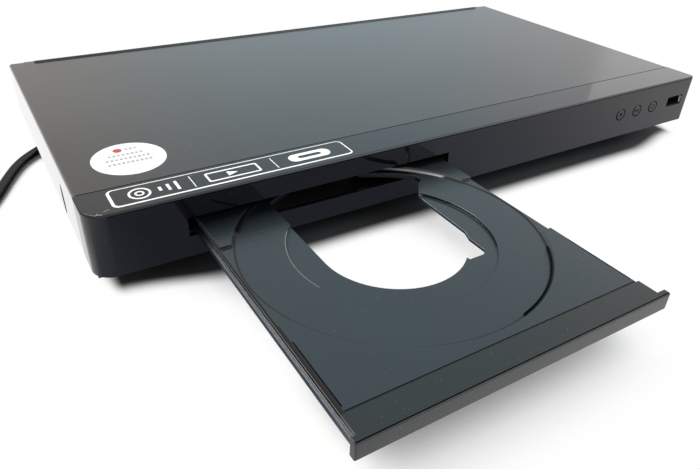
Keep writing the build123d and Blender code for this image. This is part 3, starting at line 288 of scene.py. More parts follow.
traySkin = {
    "tones": ((0.009, 0.015, 0.020, 1.0), (0.012, 0.020, 0.026, 1.0)),
    "cloud": {"scale": 22.0},
    "cloudRough": 0.05,
    "grain": {"scale": 1800.0, "detail": 3.0, "roughness": 0.65},
    "grainRough": 0.12,
    "grainDepth": 0.00002,
    "dust": {"scale": 1100.0, "size": 0.17, "share": 0.35},
    "dustTone": (0.4, 0.41, 0.42, 1.0),
    "dustCover": 0.32,
    "rough": 0.2,
    "middle": (-0.0773, -0.0844),
    "seatRadius": 0.0603,
    "seatWall": (0.0003, 0.0006),
    "edgeX": (0.0606, 0.0609),
    "edgeZ": (0.0204, 0.0206),
    "wallShadeTone": (0.001, 0.001, 0.0015, 1.0),
    "wallRough": 0.6,
    "litX": (-0.075, -0.055),
    "litY": (-0.053, -0.051),
    "litTone": (0.30, 0.31, 0.31, 1.0),
    "rearY": (-0.066, -0.036),
    "rearShadeTone": (0.003, 0.0045, 0.006, 1.0),
}


def makeTraySkin():
    look = traySkin
    skin = Finish("trayPlastic", Specular_IOR_Level=0.5)
    x, y, z = skin.parts(skin.place)
    across, along = x.away(look["middle"][0]), y.away(look["middle"][1])
    radius = (across * across + along * along).root()
    seatWall = radius.away(look["seatRadius"]).fade(*look["seatWall"])
    edgeWall = across.step(*look["edgeX"]) * z.step(*look["edgeZ"])
    # the seat's and the deck's walls: rougher, and darker in colour as painted shade
    matteShadedWall = seatWall.highest(edgeWall)
    cloud = skin.noise(**look["cloud"])
    grain = skin.noise(**look["grain"])
    dust = skin.specks(**look["dust"])
    tone = skin.mix(cloud, *look["tones"])
    tone = skin.mix(y.step(*look["rearY"]), tone, look["rearShadeTone"])  # painted shade towards the rear, which stays in the cabinet
    # painted shade on the walls
    tone = skin.mix(matteShadedWall, tone, look["wallShadeTone"])
    lit = seatWall * x.step(*look["litX"]) * y.step(*look["litY"])  # the far wall takes light
    tone = skin.mix(lit, tone, look["litTone"])
    skin.feed("Base Color", skin.mix(dust * look["dustCover"], tone, look["dustTone"]))
    skin.feed("Roughness", look["rough"] + grain * look["grainRough"]
              + cloud * look["cloudRough"] + matteShadedWall * look["wallRough"])
    skin.relief(grain * (1.0 - matteShadedWall), look["grainDepth"])
    return skin.material


def makeSeamShade():  # painted shade of narrow gaps and corners, also the ink of the button marks
    shade = Finish("shadeAndMarkInk", Specular_IOR_Level=0.02)
    depth = shade.noise(scale=400.0, detail=2.0)
    shade.feed("Base Color", shade.mix(depth, grey(0.0015), grey(0.004)))
    shade.feed("Roughness", 0.85 + depth * 0.1)
    return shade.material


metalSheet = {
    "brush": {"scale": 1.0, "detail": 4.0, "roughness": 0.6},
    "brushTone": 0.6,
    "brushRough": 0.14,
    "brushDepth": 0.000006,
    "spangleScale": 160.0,
    "spangleTone": 0.4,
}


def makeSheetMetal(name, low, high, rough, brushing):  # brushing is the noise's scale each way
    look = metalSheet
    metal = Finish(name, Metallic=1.0)
    brushed = metal.noise(place=metal.stretched(brushing), **look["brush"])
    spangle = metal.add("ShaderNodeTexVoronoi", {"feature": "F1"}, {
        "Vector": metal.place, "Scale": look["spangleScale"]}, out=1)
    grade = metal.add("ShaderNodeRGBToBW", None, {0: spangle})
    metal.feed("Base Color", metal.mix(
        brushed * look["brushTone"] + grade * look["spangleTone"], low, high))
    metal.feed("Roughness", rough + brushed * look["brushRough"])
    metal.relief(brushed, look["brushDepth"])
    return metal.material


boardSkin = {
    "tones": ((0.006, 0.075, 0.030, 1.0), (0.010, 0.095, 0.042, 1.0)),
    "weave": {"scale": 500.0, "detail": 2.0},
    "weaveRough": 0.1,
    "rough": 0.28,
    "tracks": (((60.0, 700.0, 60.0), (0.52, 0.54)), ((700.0, 60.0, 60.0), (0.56, 0.58))),
    "trackTone": (0.03, 0.17, 0.075, 1.0),
    "trackCover": 0.6,
    "trackDepth": 0.00003,
}


def makeBoardGreen():
    look = boardSkin
    board = Finish("boardGreen", Specular_IOR_Level=0.5)
    weave = board.noise(**look["weave"])
    across, along = [board.noise(scale=1.0, detail=0.0, place=board.stretched(size)).step(*edge)
                     for size, edge in look["tracks"]]
    tracks = across.highest(along)
    ground = board.mix(weave, *look["tones"])
    board.feed("Base Color", board.mix(tracks * look["trackCover"], ground, look["trackTone"]))
    board.feed("Roughness", look["rough"] + weave * look["weaveRough"])
    board.relief(tracks, look["trackDepth"])
    return board.material


def makeWinding():
    tape = Finish("windingTape", Specular_IOR_Level=0.4)
    wraps = tape.add("ShaderNodeTexWave", {"wave_type": "BANDS", "bands_direction": "Z"}, {
        "Vector": tape.place, "Scale": 90.0, "Distortion": 0.4})
    tape.feed("Base Color", tape.mix(wraps, (0.52, 0.36, 0.05, 1.0), (0.66, 0.47, 0.08, 1.0)))
    tape.feed("Roughness", 0.4 + wraps * 0.15)
    tape.relief(wraps, 0.00004)
    return tape.material


def makeLensGlass():
    glass = Finish("lensGlass", Transmission_Weight=0.75, Roughness=0.03, IOR=1.5)
    coat = glass.add("ShaderNodeLayerWeight", None, {"Blend": 0.45}, out=1)
    glass.feed("Base Color", glass.mix(coat, (0.35, 0.45, 0.85, 1.0), (0.75, 0.45, 0.75, 1.0)))
    return glass.material


printInk = {
    "wear": {"scale": 1500.0, "detail": 3.0, "roughness": 0.7},
    "wearEdge": (0.62, 0.75),
    "wornShare": 0.45,
    "rough": 0.5,
    "wearRough": 0.1,
}


def makePrint(name, level, wear):
    look = printInk
    ink = Finish(name, Specular_IOR_Level=0.4)
    spots = ink.noise(**look["wear"])
    ink.feed("Base Color", ink.mix(spots.step(*look["wearEdge"]) * wear,
                                   grey(level), grey(level * look["wornShare"])))
    ink.feed("Roughness", look["rough"] + spots * look["wearRough"])
    return ink.material


def makePaper():
    paper = Finish("stickerPaper", Specular_IOR_Level=0.35, Coat_Roughness=0.25)
    fibre = paper.noise(scale=1600.0, detail=4.0, roughness=0.6)
    paper.feed("Base Color", paper.mix(fibre, (0.58, 0.58, 0.585, 1.0), (0.66, 0.66, 0.665, 1.0)))
    paper.feed("Roughness", 0.42 + fibre * 0.1)
    paper.feed("Coat Weight", fibre.step(0.3, 0.8) * 0.3)
    paper.relief(fibre, 0.00001)
    return paper.material


def makeInk(name, colour):
    ink = Finish(name, Specular_IOR_Level=0.35)
    dots = ink.noise(scale=3000.0, detail=1.0)
    ink.feed("Base Color", ink.mix(dots.step(0.6, 0.8) * 0.3, colour, grey(0.7)))
    ink.feed("Roughness", 0.45 + dots * 0.1)
    return ink.material


finishes = {
    "cover_steel": makeCoverSteel(),
    "black_gloss": makeGloss("blackGloss", (0.003, 0.003, 0.005, 1.0), rough=0.05),
    "black_plastic": makeMoulded("blackPlastic", grey(0.016), grey(0.022), rough=0.42),
    "tray_plastic": makeTraySkin(),
    "door_plastic": makeGloss("doorPlastic", (0.008, 0.010, 0.010, 1.0), rough=0.16,
                              dustShare=0.4),
    "zinc_steel": makeSheetMetal("zincSteel", grey(0.42), grey(0.58), rough=0.32,
                                 brushing=(30.0, 900.0, 900.0)),
    "bright_steel": makeSheetMetal("brightSteel", grey(0.6), grey(0.72), rough=0.14,
                                   brushing=(40.0, 1600.0, 1600.0)),
    "dark_screw": makeMoulded("darkScrew", grey(0.02), grey(0.03), rough=0.3,
                              grainScale=1200.0, dustShare=0.0),
    "white_plastic": makeMoulded("whitePlastic", grey(0.6, 0.02), grey(0.68, 0.02), rough=0.34,
                                 grainScale=900.0, depth=0.00001, dustShare=0.0),
    "grey_rubber": makeMoulded("greyRubber", grey(0.035), grey(0.045), rough=0.62,
                               grainScale=1100.0, depth=0.00004, dustShare=0.3),
    "board_green": makeBoardGreen(),
    "aluminium": makeSheetMetal("aluminium", grey(0.55), grey(0.66), rough=0.28,
                                brushing=(900.0, 30.0, 900.0)),
    "copper_wound": makeWinding(),
    "can_black": makeMoulded("canBlack", (0.012, 0.013, 0.022, 1.0), (0.02, 0.021, 0.034, 1.0),
                             rough=0.3, grainScale=700.0, depth=0.00001, dustShare=0.0),
    "lens_glass": makeLensGlass(),
    "magnet_dark": makeMoulded("magnetDark", grey(0.06), grey(0.09), rough=0.3,
                               grainScale=800.0, depth=0.00001, dustShare=0.0),
    "pin_brass": makeSheetMetal("pinPlate", (0.68, 0.62, 0.42, 1.0), (0.78, 0.71, 0.50, 1.0),
                                rough=0.16, brushing=(900.0, 60.0, 900.0)),
}
# white print, also used for the painted reflection in the front socket
printAndGlintWhite = makePrint("printAndGlintWhite", level=0.72, wear=0.5)
stickerPaper = makePaper()
shadeAndMarkInk = makeSeamShade()
bareEdge = makePrint("bareEdge", level=0.4, wear=0.6)
# a painted highlight for the inner rim of the round seat
edgeShine = makePrint("edgeShine", level=0.13, wear=0.8)
# painted shade: the loader motor's steel can is made near-black, as it sits in the dark of the
# slot
motorCanInShade = makeSheetMetal("motorCanInShade", grey(0.03), grey(0.05), rough=0.5,
                          brushing=(30.0, 900.0, 900.0))
socketShell = makeSheetMetal("socketShell", grey(0.02), grey(0.03), rough=0.5,
                             brushing=(30.0, 900.0, 900.0))
stickerRed = makeInk("stickerRed", (0.36, 0.03, 0.035, 1.0))
stickerGrey = makeInk("stickerGrey", (0.30, 0.29, 0.30, 1.0))

slotOf = {entry["node"]: entry["material_slot"] for entry in frame["record"]["subparts"]}
bodyOf = {name: body for body, members in frame["record"]["behaviour"]["bodies"].items()
          for name in members}


def dress(piece, material):
    piece.data.materials.clear()
    piece.data.materials.append(material)


for name, slot in slotOf.items():
    dress(nodes[name], finishes[slot])
# painted shade on the loader motor
dress(nodes["loader_motor"], motorCanInShade)
dress(nodes["usb_socket"], socketShell)
print("finishes made:", len(finishes))


def newPiece(name, mesh, material, body):
    piece = bpy.data.objects.new(name, mesh)
    bpy.context.scene.collection.objects.link(piece)
    dress(piece, material)
    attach(piece, body)
    return piece


def meshFrom(form, name):
    mesh = bpy.data.meshes.new(name)
    form.to_mesh(mesh)
    form.free()
    return mesh


def settle(piece, name):  # the plain mesh that a piece's modifiers make; the piece goes
    bpy.context.view_layer.update()
    depsgraph = bpy.context.evaluated_depsgraph_get()
    mesh = bpy.data.meshes.new_from_object(piece.evaluated_get(depsgraph))
    mesh.name = name
    bpy.data.objects.remove(piece)
    return mesh


# The mouldings and sheets that show get the small rounds of a real edge.
edges = {  # width in mm, and the angle in degrees above which an edge is rounded
    "front_panel": (0.18, 28),
    "tray": (0.22, 28),
    "tray_door": (0.22, 28),
    "top_cover": (0.12, 28),
    "bottom_chassis": (0.10, 40),
}
rounding = {"merge": 2e-6, "flat": 0.5, "segments": 2}


def roundEdges(node):
    width, angle = edges[node]
    name = node.replace("_", "-") + "-edged"
    form = bmesh.new()
    form.from_mesh(nodes[node].data)
    bmesh.ops.remove_doubles(form, verts=form.verts, dist=rounding["merge"])
    bmesh.ops.dissolve_limit(form, angle_limit=math.radians(rounding["flat"]),
                             verts=form.verts, edges=form.edges)
    mesh = meshFrom(form, name)
    if "custom_normal" in mesh.attributes:
        mesh.attributes.remove(mesh.attributes["custom_normal"])
    mesh.shade_smooth()
    mesh.set_sharp_from_angle(angle=sharp)
    rough = bpy.data.objects.new(name + "-raw", mesh)
    bpy.context.scene.collection.objects.link(rough)
    bevel = rough.modifiers.new("edges", "BEVEL")
    bevel.width = width * mm
    bevel.segments = rounding["segments"]
    bevel.limit_method = "ANGLE"
    bevel.angle_limit = math.radians(angle)
    bevel.use_clamp_overlap = True
    even = rough.modifiers.new("even", "WEIGHTED_NORMAL")
    even.keep_sharp = True
    done = settle(rough, name)
    piece = newPiece(name, done, finishes[slotOf[node]], bodyOf[node])
    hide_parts(node)
    print(name, len(done.polygons), "faces")


for name in edges:
    roundEdges(name)
print("edges rounded")


def onCircle(x, y, radius, angle):
    return (x + radius * math.cos(angle), y + radius * math.sin(angle))


def arcAngles(start, end, steps):  # from degrees
    return [math.radians(start + (end - start) * step / steps) for step in range(steps + 1)]


def box(x0, x1, y0, y1):
    return [(x0, y0), (x1, y0), (x1, y1), (x0, y1)]


def discRing(x, y, radius, steps=48):
    return [onCircle(x, y, radius, 2 * math.pi * step / steps) for step in range(steps)]


def roundedRing(x0, x1, y0, y1, radius, steps=6):
    corners = ((x1 - radius, y1 - radius, 0), (x0 + radius, y1 - radius, 90),
               (x0 + radius, y0 + radius, 180), (x1 - radius, y0 + radius, 270))
    return [onCircle(x, y, radius, angle) for x, y, start in corners
            for angle in arcAngles(start, start + 90, steps)]


def cornersAt(form, points, z):
    return [form.verts.new((x * mm, y * mm, z * mm)) for x, y in points]


def bridge(form, before, after):  # faces between two closed rings of corners
    for step in range(len(before)):
        other = (step + 1) % len(before)
        form.faces.new((before[step], before[other], after[other], after[step]))


# The flat twin cord: the run that shows, its coil and its tail are one route.
cord = {
    "width": 6.0,
    "height": 3.6,
    "waist": 0.84,
    "lie": 1.85,
    "layer": 3.7,
    "coilMiddle": (-258.4, 8.0),
    "coilRadii": (41.0, 37.8, 34.6, 31.4, 28.2),
    "climbRadius": 25.0,
    "halfTurnPoints": 6,
    "run": [(-95, 178, 15), (-95, 189, 15), (-97, 201, 11.8), (-105, 211.2, 6.6),
            (-118, 215.2, 2.9), (-130.4, 210.2, 1.85), (-138.4, 197, 1.85),
            (-145.6, 177.5, 1.85), (-157.4, 150, 1.85), (-166.5, 126, 1.85),
            (-170.5, 112, 1.85), (-181.5, 102.6, 1.85), (-190.1, 92.5, 1.85),
            (-197.2, 78, 1.85), (-204.2, 60.6, 1.85), (-217.4, 33.4, 1.85),
            (-217.4, 13, 1.85)],
    "tail": [(-305.8, 13, 5.55), (-305.8, 24, 5.6), (-306.4, 37, 6.85), (-306.4, 48, 6.85)],
}


def cordRoute():
    points = [Vector(p) for p in cord["run"]]
    middle = Vector(cord["coilMiddle"])
    radii = [*cord["coilRadii"], cord["climbRadius"], *reversed(cord["coilRadii"])]
    climb = len(cord["coilRadii"])  # this half turn rises from the lower layer to the upper
    count = cord["halfTurnPoints"]
    outside = 1.0 / math.cos(math.pi / (2 * count))  # the curve stays inside its points
    edge = middle.x + radii[0]
    for index, radius in enumerate(radii):  # half turns, clockwise from the right side
        side = 1 if index % 2 == 0 else -1
        centre = edge - side * radius
        for step in range(count):
            share = (step + 0.5) / count
            x, y = onCircle(centre, middle.y, side * radius * outside, -math.pi * share)
            rise = min(max(index - climb + share, 0.0), 1.0)
            points.append(Vector((x, y, cord["lie"] + cord["layer"] * rise)))
        edge = centre - side * radius
    return points + [Vector(p) for p in cord["tail"]]


def routeSpline(points):
    line = bpy.data.curves.new("cordRoute", "CURVE")
    line.dimensions = "3D"
    line.resolution_u = 8
    spline = line.splines.new("NURBS")
    spline.points.add(len(points) - 1)
    for point, place in zip(spline.points, points):
        point.co = (*(place * mm), 1.0)
    spline.order_u = 3
    spline.use_endpoint_u = True
    holder = bpy.data.objects.new("cordRoute", line)
    bpy.context.scene.collection.objects.link(holder)
    mesh = settle(holder, "cordRoute")
    path = [v.co.copy() for v in mesh.vertices]
    bpy.data.meshes.remove(mesh)
    return path


def twinSection(steps=11):  # two round cores side by side in one flat sheath
    radius = cord["height"] / 2
    side = cord["width"] / 2 - radius
    ring = [onCircle(side, 0.0, radius, angle) for angle in arcAngles(-90, 90, steps)]
    ring.append((0.0, radius * cord["waist"]))
    return ring + [(-x, -y) for x, y in ring]


def sweepCord(path):
    ring = twinSection()
    form = bmesh.new()
    loops = []
    for index, place in enumerate(path):
        ahead = path[min(index + 1, len(path) - 1)] - path[max(index - 1, 0)]
        across = ahead.cross(Vector((0, 0, 1))).normalized()
        rise = across.cross(ahead).normalized()
        loops.append([form.verts.new(place + (across * x + rise * y) * mm) for x, y in ring])
    for before, after in zip(loops, loops[1:]):
        bridge(form, before, after)
    form.faces.new(reversed(loops[0]))
    form.faces.new(loops[-1])
    bmesh.ops.recalc_face_normals(form, faces=form.faces)
    mesh = meshFrom(form, "power-cord")
    mesh.shade_smooth()
    mesh.set_sharp_from_angle(angle=sharp)
    return mesh


def makeCordVinyl():
    vinyl = Finish("cordVinyl", Specular_IOR_Level=0.08)
    film = vinyl.noise(scale=60.0)
    scuff = vinyl.specks(scale=700.0, size=0.2, share=0.4)
    vinyl.feed("Base Color", vinyl.mix(scuff * 0.4, grey(0.006), grey(0.2)))
    vinyl.feed("Roughness", 0.3 + film * 0.12)
    vinyl.relief(vinyl.noise(scale=400.0, detail=2.0), 0.00003)
    return vinyl.material


cordPath = routeSpline(cordRoute())
cordLength = sum((b - a).length for a, b in zip(cordPath, cordPath[1:]))
cordVinyl = makeCordVinyl()
powerCord = newPiece("power-cord", sweepCord(cordPath), cordVinyl, "cabinet")
powerCord.visible_glossy = False  # the coil lies just outside the picture
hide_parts("power_cord", "cord_coil", "cord_tail")
for name in ("plug", "cord_gland"):
    dress(nodes[name], cordVinyl)
print("cord laid:", round(cordLength, 3), "m")


def inkLoop(form, outer, inner, z):  # a printed line between two rings
    bridge(form, cornersAt(form, outer, z), cornersAt(form, inner, z))


def inkPatch(form, points, z):
    form.faces.new(cornersAt(form, points, z))


def inked(form, name, material, body, turn=None):
    if turn:
        bmesh.ops.transform(form, matrix=turn, verts=form.verts)
    newPiece(name, meshFrom(form, name), material, body)


# The printed frame on the front strip of the top: three fields with plain signs.
marks = {
    "z": 35.03,
    "frame": (-168.5, -64.0, -34.6, -20.4),
    "frameRound": 2.6,
    "lines": (1.15, 0.65, 0.95, 0.5),
    "dividers": (-136.0, -100.0),
    "dividerLine": 0.4,
    "dividerInset": 2.2,
    "discX": -157.0,
    "discRings": ((4.4, 3.5), (1.9, 1.1)),
    "soundX": (-149.6, -148.4),
    "soundPitch": 3.4,
    "soundTall": 1.6,
    "screen": (-130.0, -107.0, 3.9, 1.0),
    "screenHole": (-129.1, -107.9, 3.0, 0.6),
    "play": (-121.0, -116.4, 1.9),
    "port": (-93.0, -73.0, 3.4, 3.3),
    "portHole": (-88.5, -77.5, 1.2, 1.1),
}


def makePrintedFrame():
    x0, x1, y0, y1 = marks["frame"]
    left, right, front, back = marks["lines"]
    radius = marks["frameRound"]
    middle = (y0 + y1) / 2
    z = marks["z"]

    def field(start, end, half, corner):
        return roundedRing(start, end, middle - half, middle + half, corner)

    form = bmesh.new()
    inkLoop(form, roundedRing(x0, x1, y0, y1, radius),
            roundedRing(x0 + left, x1 - right, y0 + front, y1 - back, radius - right), z)
    half, inset = marks["dividerLine"] / 2, marks["dividerInset"]
    for x in marks["dividers"]:
        inkPatch(form, box(x - half, x + half, y0 + inset, y1 - inset), z)
    for outer, inner in marks["discRings"]:
        inkLoop(form, discRing(marks["discX"], middle, outer),
                discRing(marks["discX"], middle, inner), z)
    for k in range(3):  # bars of sound, each taller than the last
        start, end = [x + k * marks["soundPitch"] for x in marks["soundX"]]
        tall = marks["soundTall"] + k
        inkPatch(form, box(start, end, middle - tall, middle + tall), z)
    inkLoop(form, field(*marks["screen"]), field(*marks["screenHole"]), z)
    start, tip, tall = marks["play"]
    inkPatch(form, [(start, middle - tall), (tip, middle), (start, middle + tall)], z)
    inkLoop(form, field(*marks["port"]), field(*marks["portHole"]), z)
    inked(form, "printed-frame", printAndGlintWhite, "cabinet")


# A disc of paper with a red dot and rows of plain dashes
sticker = {
    "at": (-152.4, 4.3),
    "radius": 15.5,
    "bevel": 0.03,
    "steps": 72,
    "low": 35.01,
    "high": 35.13,
    "inkZ": 35.15,
    "dot": (-2.6, 9.2, 1.9, 24),
    "dashRows": ((9.2, 0.6, 3), (4.3, -7.6, 8), (0.3, -9.4, 10), (-3.7, -9.4, 10)),
    "dashPitch": 1.9,
    "dashWide": 1.1,
    "dashTall": (0.75, 0.15),
}


def makeSticker():
    x, y = sticker["at"]
    radius, steps, z = sticker["radius"], sticker["steps"], sticker["inkZ"]
    form = bmesh.new()
    bottom = cornersAt(form, discRing(x, y, radius, steps), sticker["low"])
    top = cornersAt(form, discRing(x, y, radius - sticker["bevel"], steps), sticker["high"])
    bridge(form, bottom, top)
    form.faces.new(top)
    form.faces.new(list(reversed(bottom)))
    inked(form, "sticker", stickerPaper, "cabinet")
    form = bmesh.new()
    along, up, dotRadius, dotSteps = sticker["dot"]
    inkPatch(form, discRing(x + along, y + up, dotRadius, dotSteps), z)
    inked(form, "sticker-red-dot", stickerRed, "cabinet")
    form = bmesh.new()
    tall, taller = sticker["dashTall"]
    for up, start, dashes in sticker["dashRows"]:
        for k in range(dashes):
            left = x + start + k * sticker["dashPitch"]
            half = tall + taller * (k % 2)
            inkPatch(form, box(left, left + sticker["dashWide"], y + up - half, y + up + half), z)
    inked(form, "sticker-dashes", stickerGrey, "cabinet")


buttonMarks = {
    "x": (116.3, 130.8, 145.3),
    "z": 21.3,
    "faceY": -37.92,
    "shapes": {
        "eject_button": [[(-1.2, -0.2), (1.2, -0.2), (0, 1.2)], box(-1.2, 1.2, -0.9, -0.5)],
        "play_button": [[(-1.5, -1.0), (0.1, 0.0), (-1.5, 1.0)],
                        box(0.5, 0.85, -1.0, 1.0), box(1.25, 1.6, -1.0, 1.0)],
        "power_button": [box(-0.15, 0.15, 0.3, 1.7)],
    },
    "arc": (130, 410, 20),
    "arcRadii": (1.5, 1.2),
}


def makeButtonMarks():  # open, play and pause, and power
    for x, (node, patches) in zip(buttonMarks["x"], buttonMarks["shapes"].items()):
        form = bmesh.new()
        for points in patches:
            inkPatch(form, points, 0.0)
        if node == "power_button":
            turns = arcAngles(*buttonMarks["arc"])
            outer, inner = buttonMarks["arcRadii"]
            for a, b in zip(turns, turns[1:]):
                inkPatch(form, [onCircle(0, 0, radius, angle) for radius, angle in (
                    (outer, a), (inner, a), (inner, b), (outer, b))], 0.0)
        place = Matrix.Translation(Vector((x, buttonMarks["faceY"], buttonMarks["z"])) * mm)
        inked(form, node.replace("_", "-") + "-mark", shadeAndMarkInk, node,
              place @ upright)


makePrintedFrame()
makeSticker()
makeButtonMarks()
print("marks printed")

# Thin strips of painted shade where the real mouldings have a gap or an undercut. The level is a
# height on top, and the distance forward on the front.
shades = {
    "cover-seam": ("cabinet", "cover_steel", "top", 35.0, [(-178.6, 178.6, -18.62, -18.12)]),
    "face-top": ("cabinet", "black_gloss", "front", 38.0, [(-171.4, 176.9, 33.9, 34.2)]),
    "flange-gap": ("drawer", "tray_plastic", "top", 23.15, [(-138.0, -17.0, -149.95, -149.5)]),
    "door-ridge": ("drawer", "door_plastic", "top", 24.4, [(-141.5, -13.1, -161.25, -160.75)]),
    "rail-groove": ("drawer", "tray_plastic", "top", 20.4,
                    [(-138.85, -138.33, -149, -22), (-16.27, -15.75, -149, -22)]),
    "deck-groove": ("drawer", "tray_plastic", "top", 23.15,
                    [(-138.05, -137.55, -148, -118.5), (-17.05, -16.55, -148, -118.5)]),
    "seat-groove": ("drawer", "tray_plastic", "top", 21.75,
                    [(-138.05, -137.55, -116, -53), (-17.05, -16.55, -116, -53)]),
}
shadeRise = 0.02


def makeShades():
    for name, (body, slot, side, level, strips) in shades.items():
        form = bmesh.new()
        for strip in strips:
            inkPatch(form, box(*strip), level + shadeRise)
        inked(form, name, shadeAndMarkInk, body, upright if side == "front" else None)


makeShades()

# Painted shade and a painted highlight as bands on the round seat's walls and rims: two radii,
# two angles and two heights.
seatBands = {
    "middle": (-77.3, -84.4),
    "steps": 24,
    "bands": {
        "rearLeftWall": (60.12, 60.12, 97, 147, 21.78, 23.08),
        "rearLeftRim": (60.35, 61.2, 99, 147, 23.17, 23.17),
        "frontRightWall": (60.12, 60.12, 282, 327, 21.78, 23.08),
        "innerWall": (40.92, 40.92, -33, 36, 20.78, 21.72),
        "innerRim": (41.05, 41.4, 143, 198, 21.77, 21.77),
    },
}


def makeSeatBands():
    for name, (near, far, start, end, low, high) in seatBands["bands"].items():
        turns = arcAngles(start, end, seatBands["steps"])
        form = bmesh.new()
        inner, outer = [cornersAt(form, [onCircle(*seatBands["middle"], radius, angle)
                                         for angle in turns], z)
                        for radius, z in ((near, low), (far, high))]
        for k in range(seatBands["steps"]):
            form.faces.new((inner[k], outer[k], outer[k + 1], inner[k + 1]))
        # the inner rim is a painted highlight, the other bands are painted shade
        material = edgeShine if name == "innerRim" else shadeAndMarkInk
        inked(form, "seat-" + name, material, "drawer")


scuffs = {  # at the left front corner
    "lines": [(-175.4, -36.07, -173.25, -36.95), (-174.6, -34.9, -174.9, -36.1),
              (-172.2, -35.0, -170.0, -34.1)],
    "width": 0.2,
    "z": 35.015,
}


def makeWornCorner():
    form = bmesh.new()
    width = scuffs["width"]
    for x0, y0, x1, y1 in scuffs["lines"]:
        inkPatch(form, [(x0, y0 - width / 2), (x1, y1 - width), (x1 + width, y1),
                        (x0, y0 + width / 2)], scuffs["z"])
    inked(form, "worn-corner", bareEdge, "cabinet")


shadeArcs = {  # painted shade: dark arcs at the left of the buttons
    "radius": 3.5,
    "widest": 0.75,
    "turns": (95, 245, 16),
    "front": 38.02,
    "merge": 1e-6,
}


def makeShadeArcs():
    radius, widest = shadeArcs["radius"], shadeArcs["widest"]
    turns = arcAngles(*shadeArcs["turns"])
    last = len(turns) - 1
    form = bmesh.new()
    for x in buttonMarks["x"]:
        for k, (a, b) in enumerate(zip(turns, turns[1:])):
            start, end = [radius + widest * math.sin(math.pi * s / last) for s in (k, k + 1)]
            inkPatch(form, [onCircle(x, buttonMarks["z"], out, angle) for out, angle in (
                (start, a), (end, b), (radius, b), (radius, a))], shadeArcs["front"])
    bmesh.ops.remove_doubles(form, verts=form.verts, dist=shadeArcs["merge"])
    inked(form, "button-dishes", shadeAndMarkInk, "cabinet", upright)


sidePatches = {  # a painted reflection on the right inner wall of the front socket, and the painted shade of the side slot
    "glintX": 171.6,
    "contact": (-37.9, -37.0, 19.8, 23.8),
    "slotX": -180.02,
    "slot": (16.0, 16.6, 2.6, 7.3),
    "slotSteps": 24,
}


def sidePatch(name, x, points, material):  # a flat face that looks along x
    form = bmesh.new()
    form.faces.new([form.verts.new((x * mm, y * mm, z * mm)) for y, z in points])
    inked(form, name, material, "cabinet")


def makeSidePatches():
    y0, y1, z0, z1 = sidePatches["contact"]
    # a painted reflection on the socket's inner wall
    sidePatch("usb-contact-bar", sidePatches["glintX"],
              ((y0, z0), (y0, z1), (y1, z1), (y1, z0)), printAndGlintWhite)
    y, z, wide, tall = sidePatches["slot"]
    oval = [(y + wide * math.sin(angle), z + tall * math.cos(angle))
            for angle in arcAngles(0, 360, sidePatches["slotSteps"])[:-1]]
    sidePatch("side-slot-shade", sidePatches["slotX"], oval, shadeAndMarkInk)


makeSeatBands()
makeWornCorner()
makeShadeArcs()
makeSidePatches()
print("shade lines and wear made")


# What repeats is placed by one node tree: a shape, in rows and columns.
def makeRowsTree():
    tree = bpy.data.node_groups.new("rowsOfShapes", "GeometryNodeTree")
    tree.is_modifier = True
    face = tree.interface
    face.new_socket("Geometry", in_out="OUTPUT", socket_type="NodeSocketGeometry")
    for name, kind in (("Shape", "NodeSocketObject"), ("Columns", "NodeSocketInt"),
                       ("Rows", "NodeSocketInt"), ("Start", "NodeSocketVector"),
                       ("Column Step", "NodeSocketVector"), ("Row Step", "NodeSocketVector"),
                       ("Size Spread", "NodeSocketFloat"), ("Finish", "NodeSocketMaterial")):
        face.new_socket(name, in_out="INPUT", socket_type=kind)
    graph = Graph(tree)
    value = graph.source("NodeGroupInput")
    across = graph.add("GeometryNodeMeshLine", {"mode": "OFFSET"}, {
        "Count": value["Columns"], "Start Location": value["Start"],
        "Offset": value["Column Step"]})
    along = graph.add("GeometryNodeMeshLine", {"mode": "OFFSET"}, {
        "Count": value["Rows"], "Offset": value["Row Step"]})
    cells = graph.add("GeometryNodeInstanceOnPoints", None, {
        "Points": across, "Instance": along})
    cells = graph.add("GeometryNodeRealizeInstances", None, {"Geometry": cells})
    shape = graph.add("GeometryNodeObjectInfo", None, {"Object": value["Shape"]}, out=4)
    smallest = 1.0 - value["Size Spread"]
    size = graph.add("FunctionNodeRandomValue", {"data_type": "FLOAT"}, {
        2: smallest, 3: 1.0, "Seed": 7}, out=1)
    placed = graph.add("GeometryNodeInstanceOnPoints", None, {
        "Points": cells, "Instance": shape, "Scale": size})
    solid = graph.add("GeometryNodeRealizeInstances", None, {"Geometry": placed})
    painted = graph.add("GeometryNodeSetMaterial", None, {
        "Geometry": solid, "Material": value["Finish"]})
    tree.links.new(painted.socket, tree.nodes.new("NodeGroupOutput").inputs[0])
    return tree


rowsTree = makeRowsTree()
print("rows tree made")


# Columns go along x and rows along y. All that repeats here sits in the cabinet.
def inRows(name, shape, material, slot, start, columns=1, step=0.0, rows=1, rowStep=0.0,
           spread=0.0):
    holder = bpy.data.objects.new(name + "-raw", bpy.data.meshes.new(name + "-raw"))
    bpy.context.scene.collection.objects.link(holder)
    builder = holder.modifiers.new("rows", "NODES")
    builder.node_group = rowsTree
    values = {"Shape": shape, "Columns": columns, "Rows": rows,
              "Start": tuple(v * mm for v in start), "Column Step": (step * mm, 0.0, 0.0),
              "Row Step": (0.0, rowStep * mm, 0.0), "Size Spread": spread, "Finish": material}
    for socket in rowsTree.interface.items_tree:
        if socket.in_out == "INPUT":
            builder[socket.identifier] = values[socket.name]
    mesh = settle(holder, name)
    bpy.data.objects.remove(shape)
    newPiece(name, mesh, material, "cabinet")


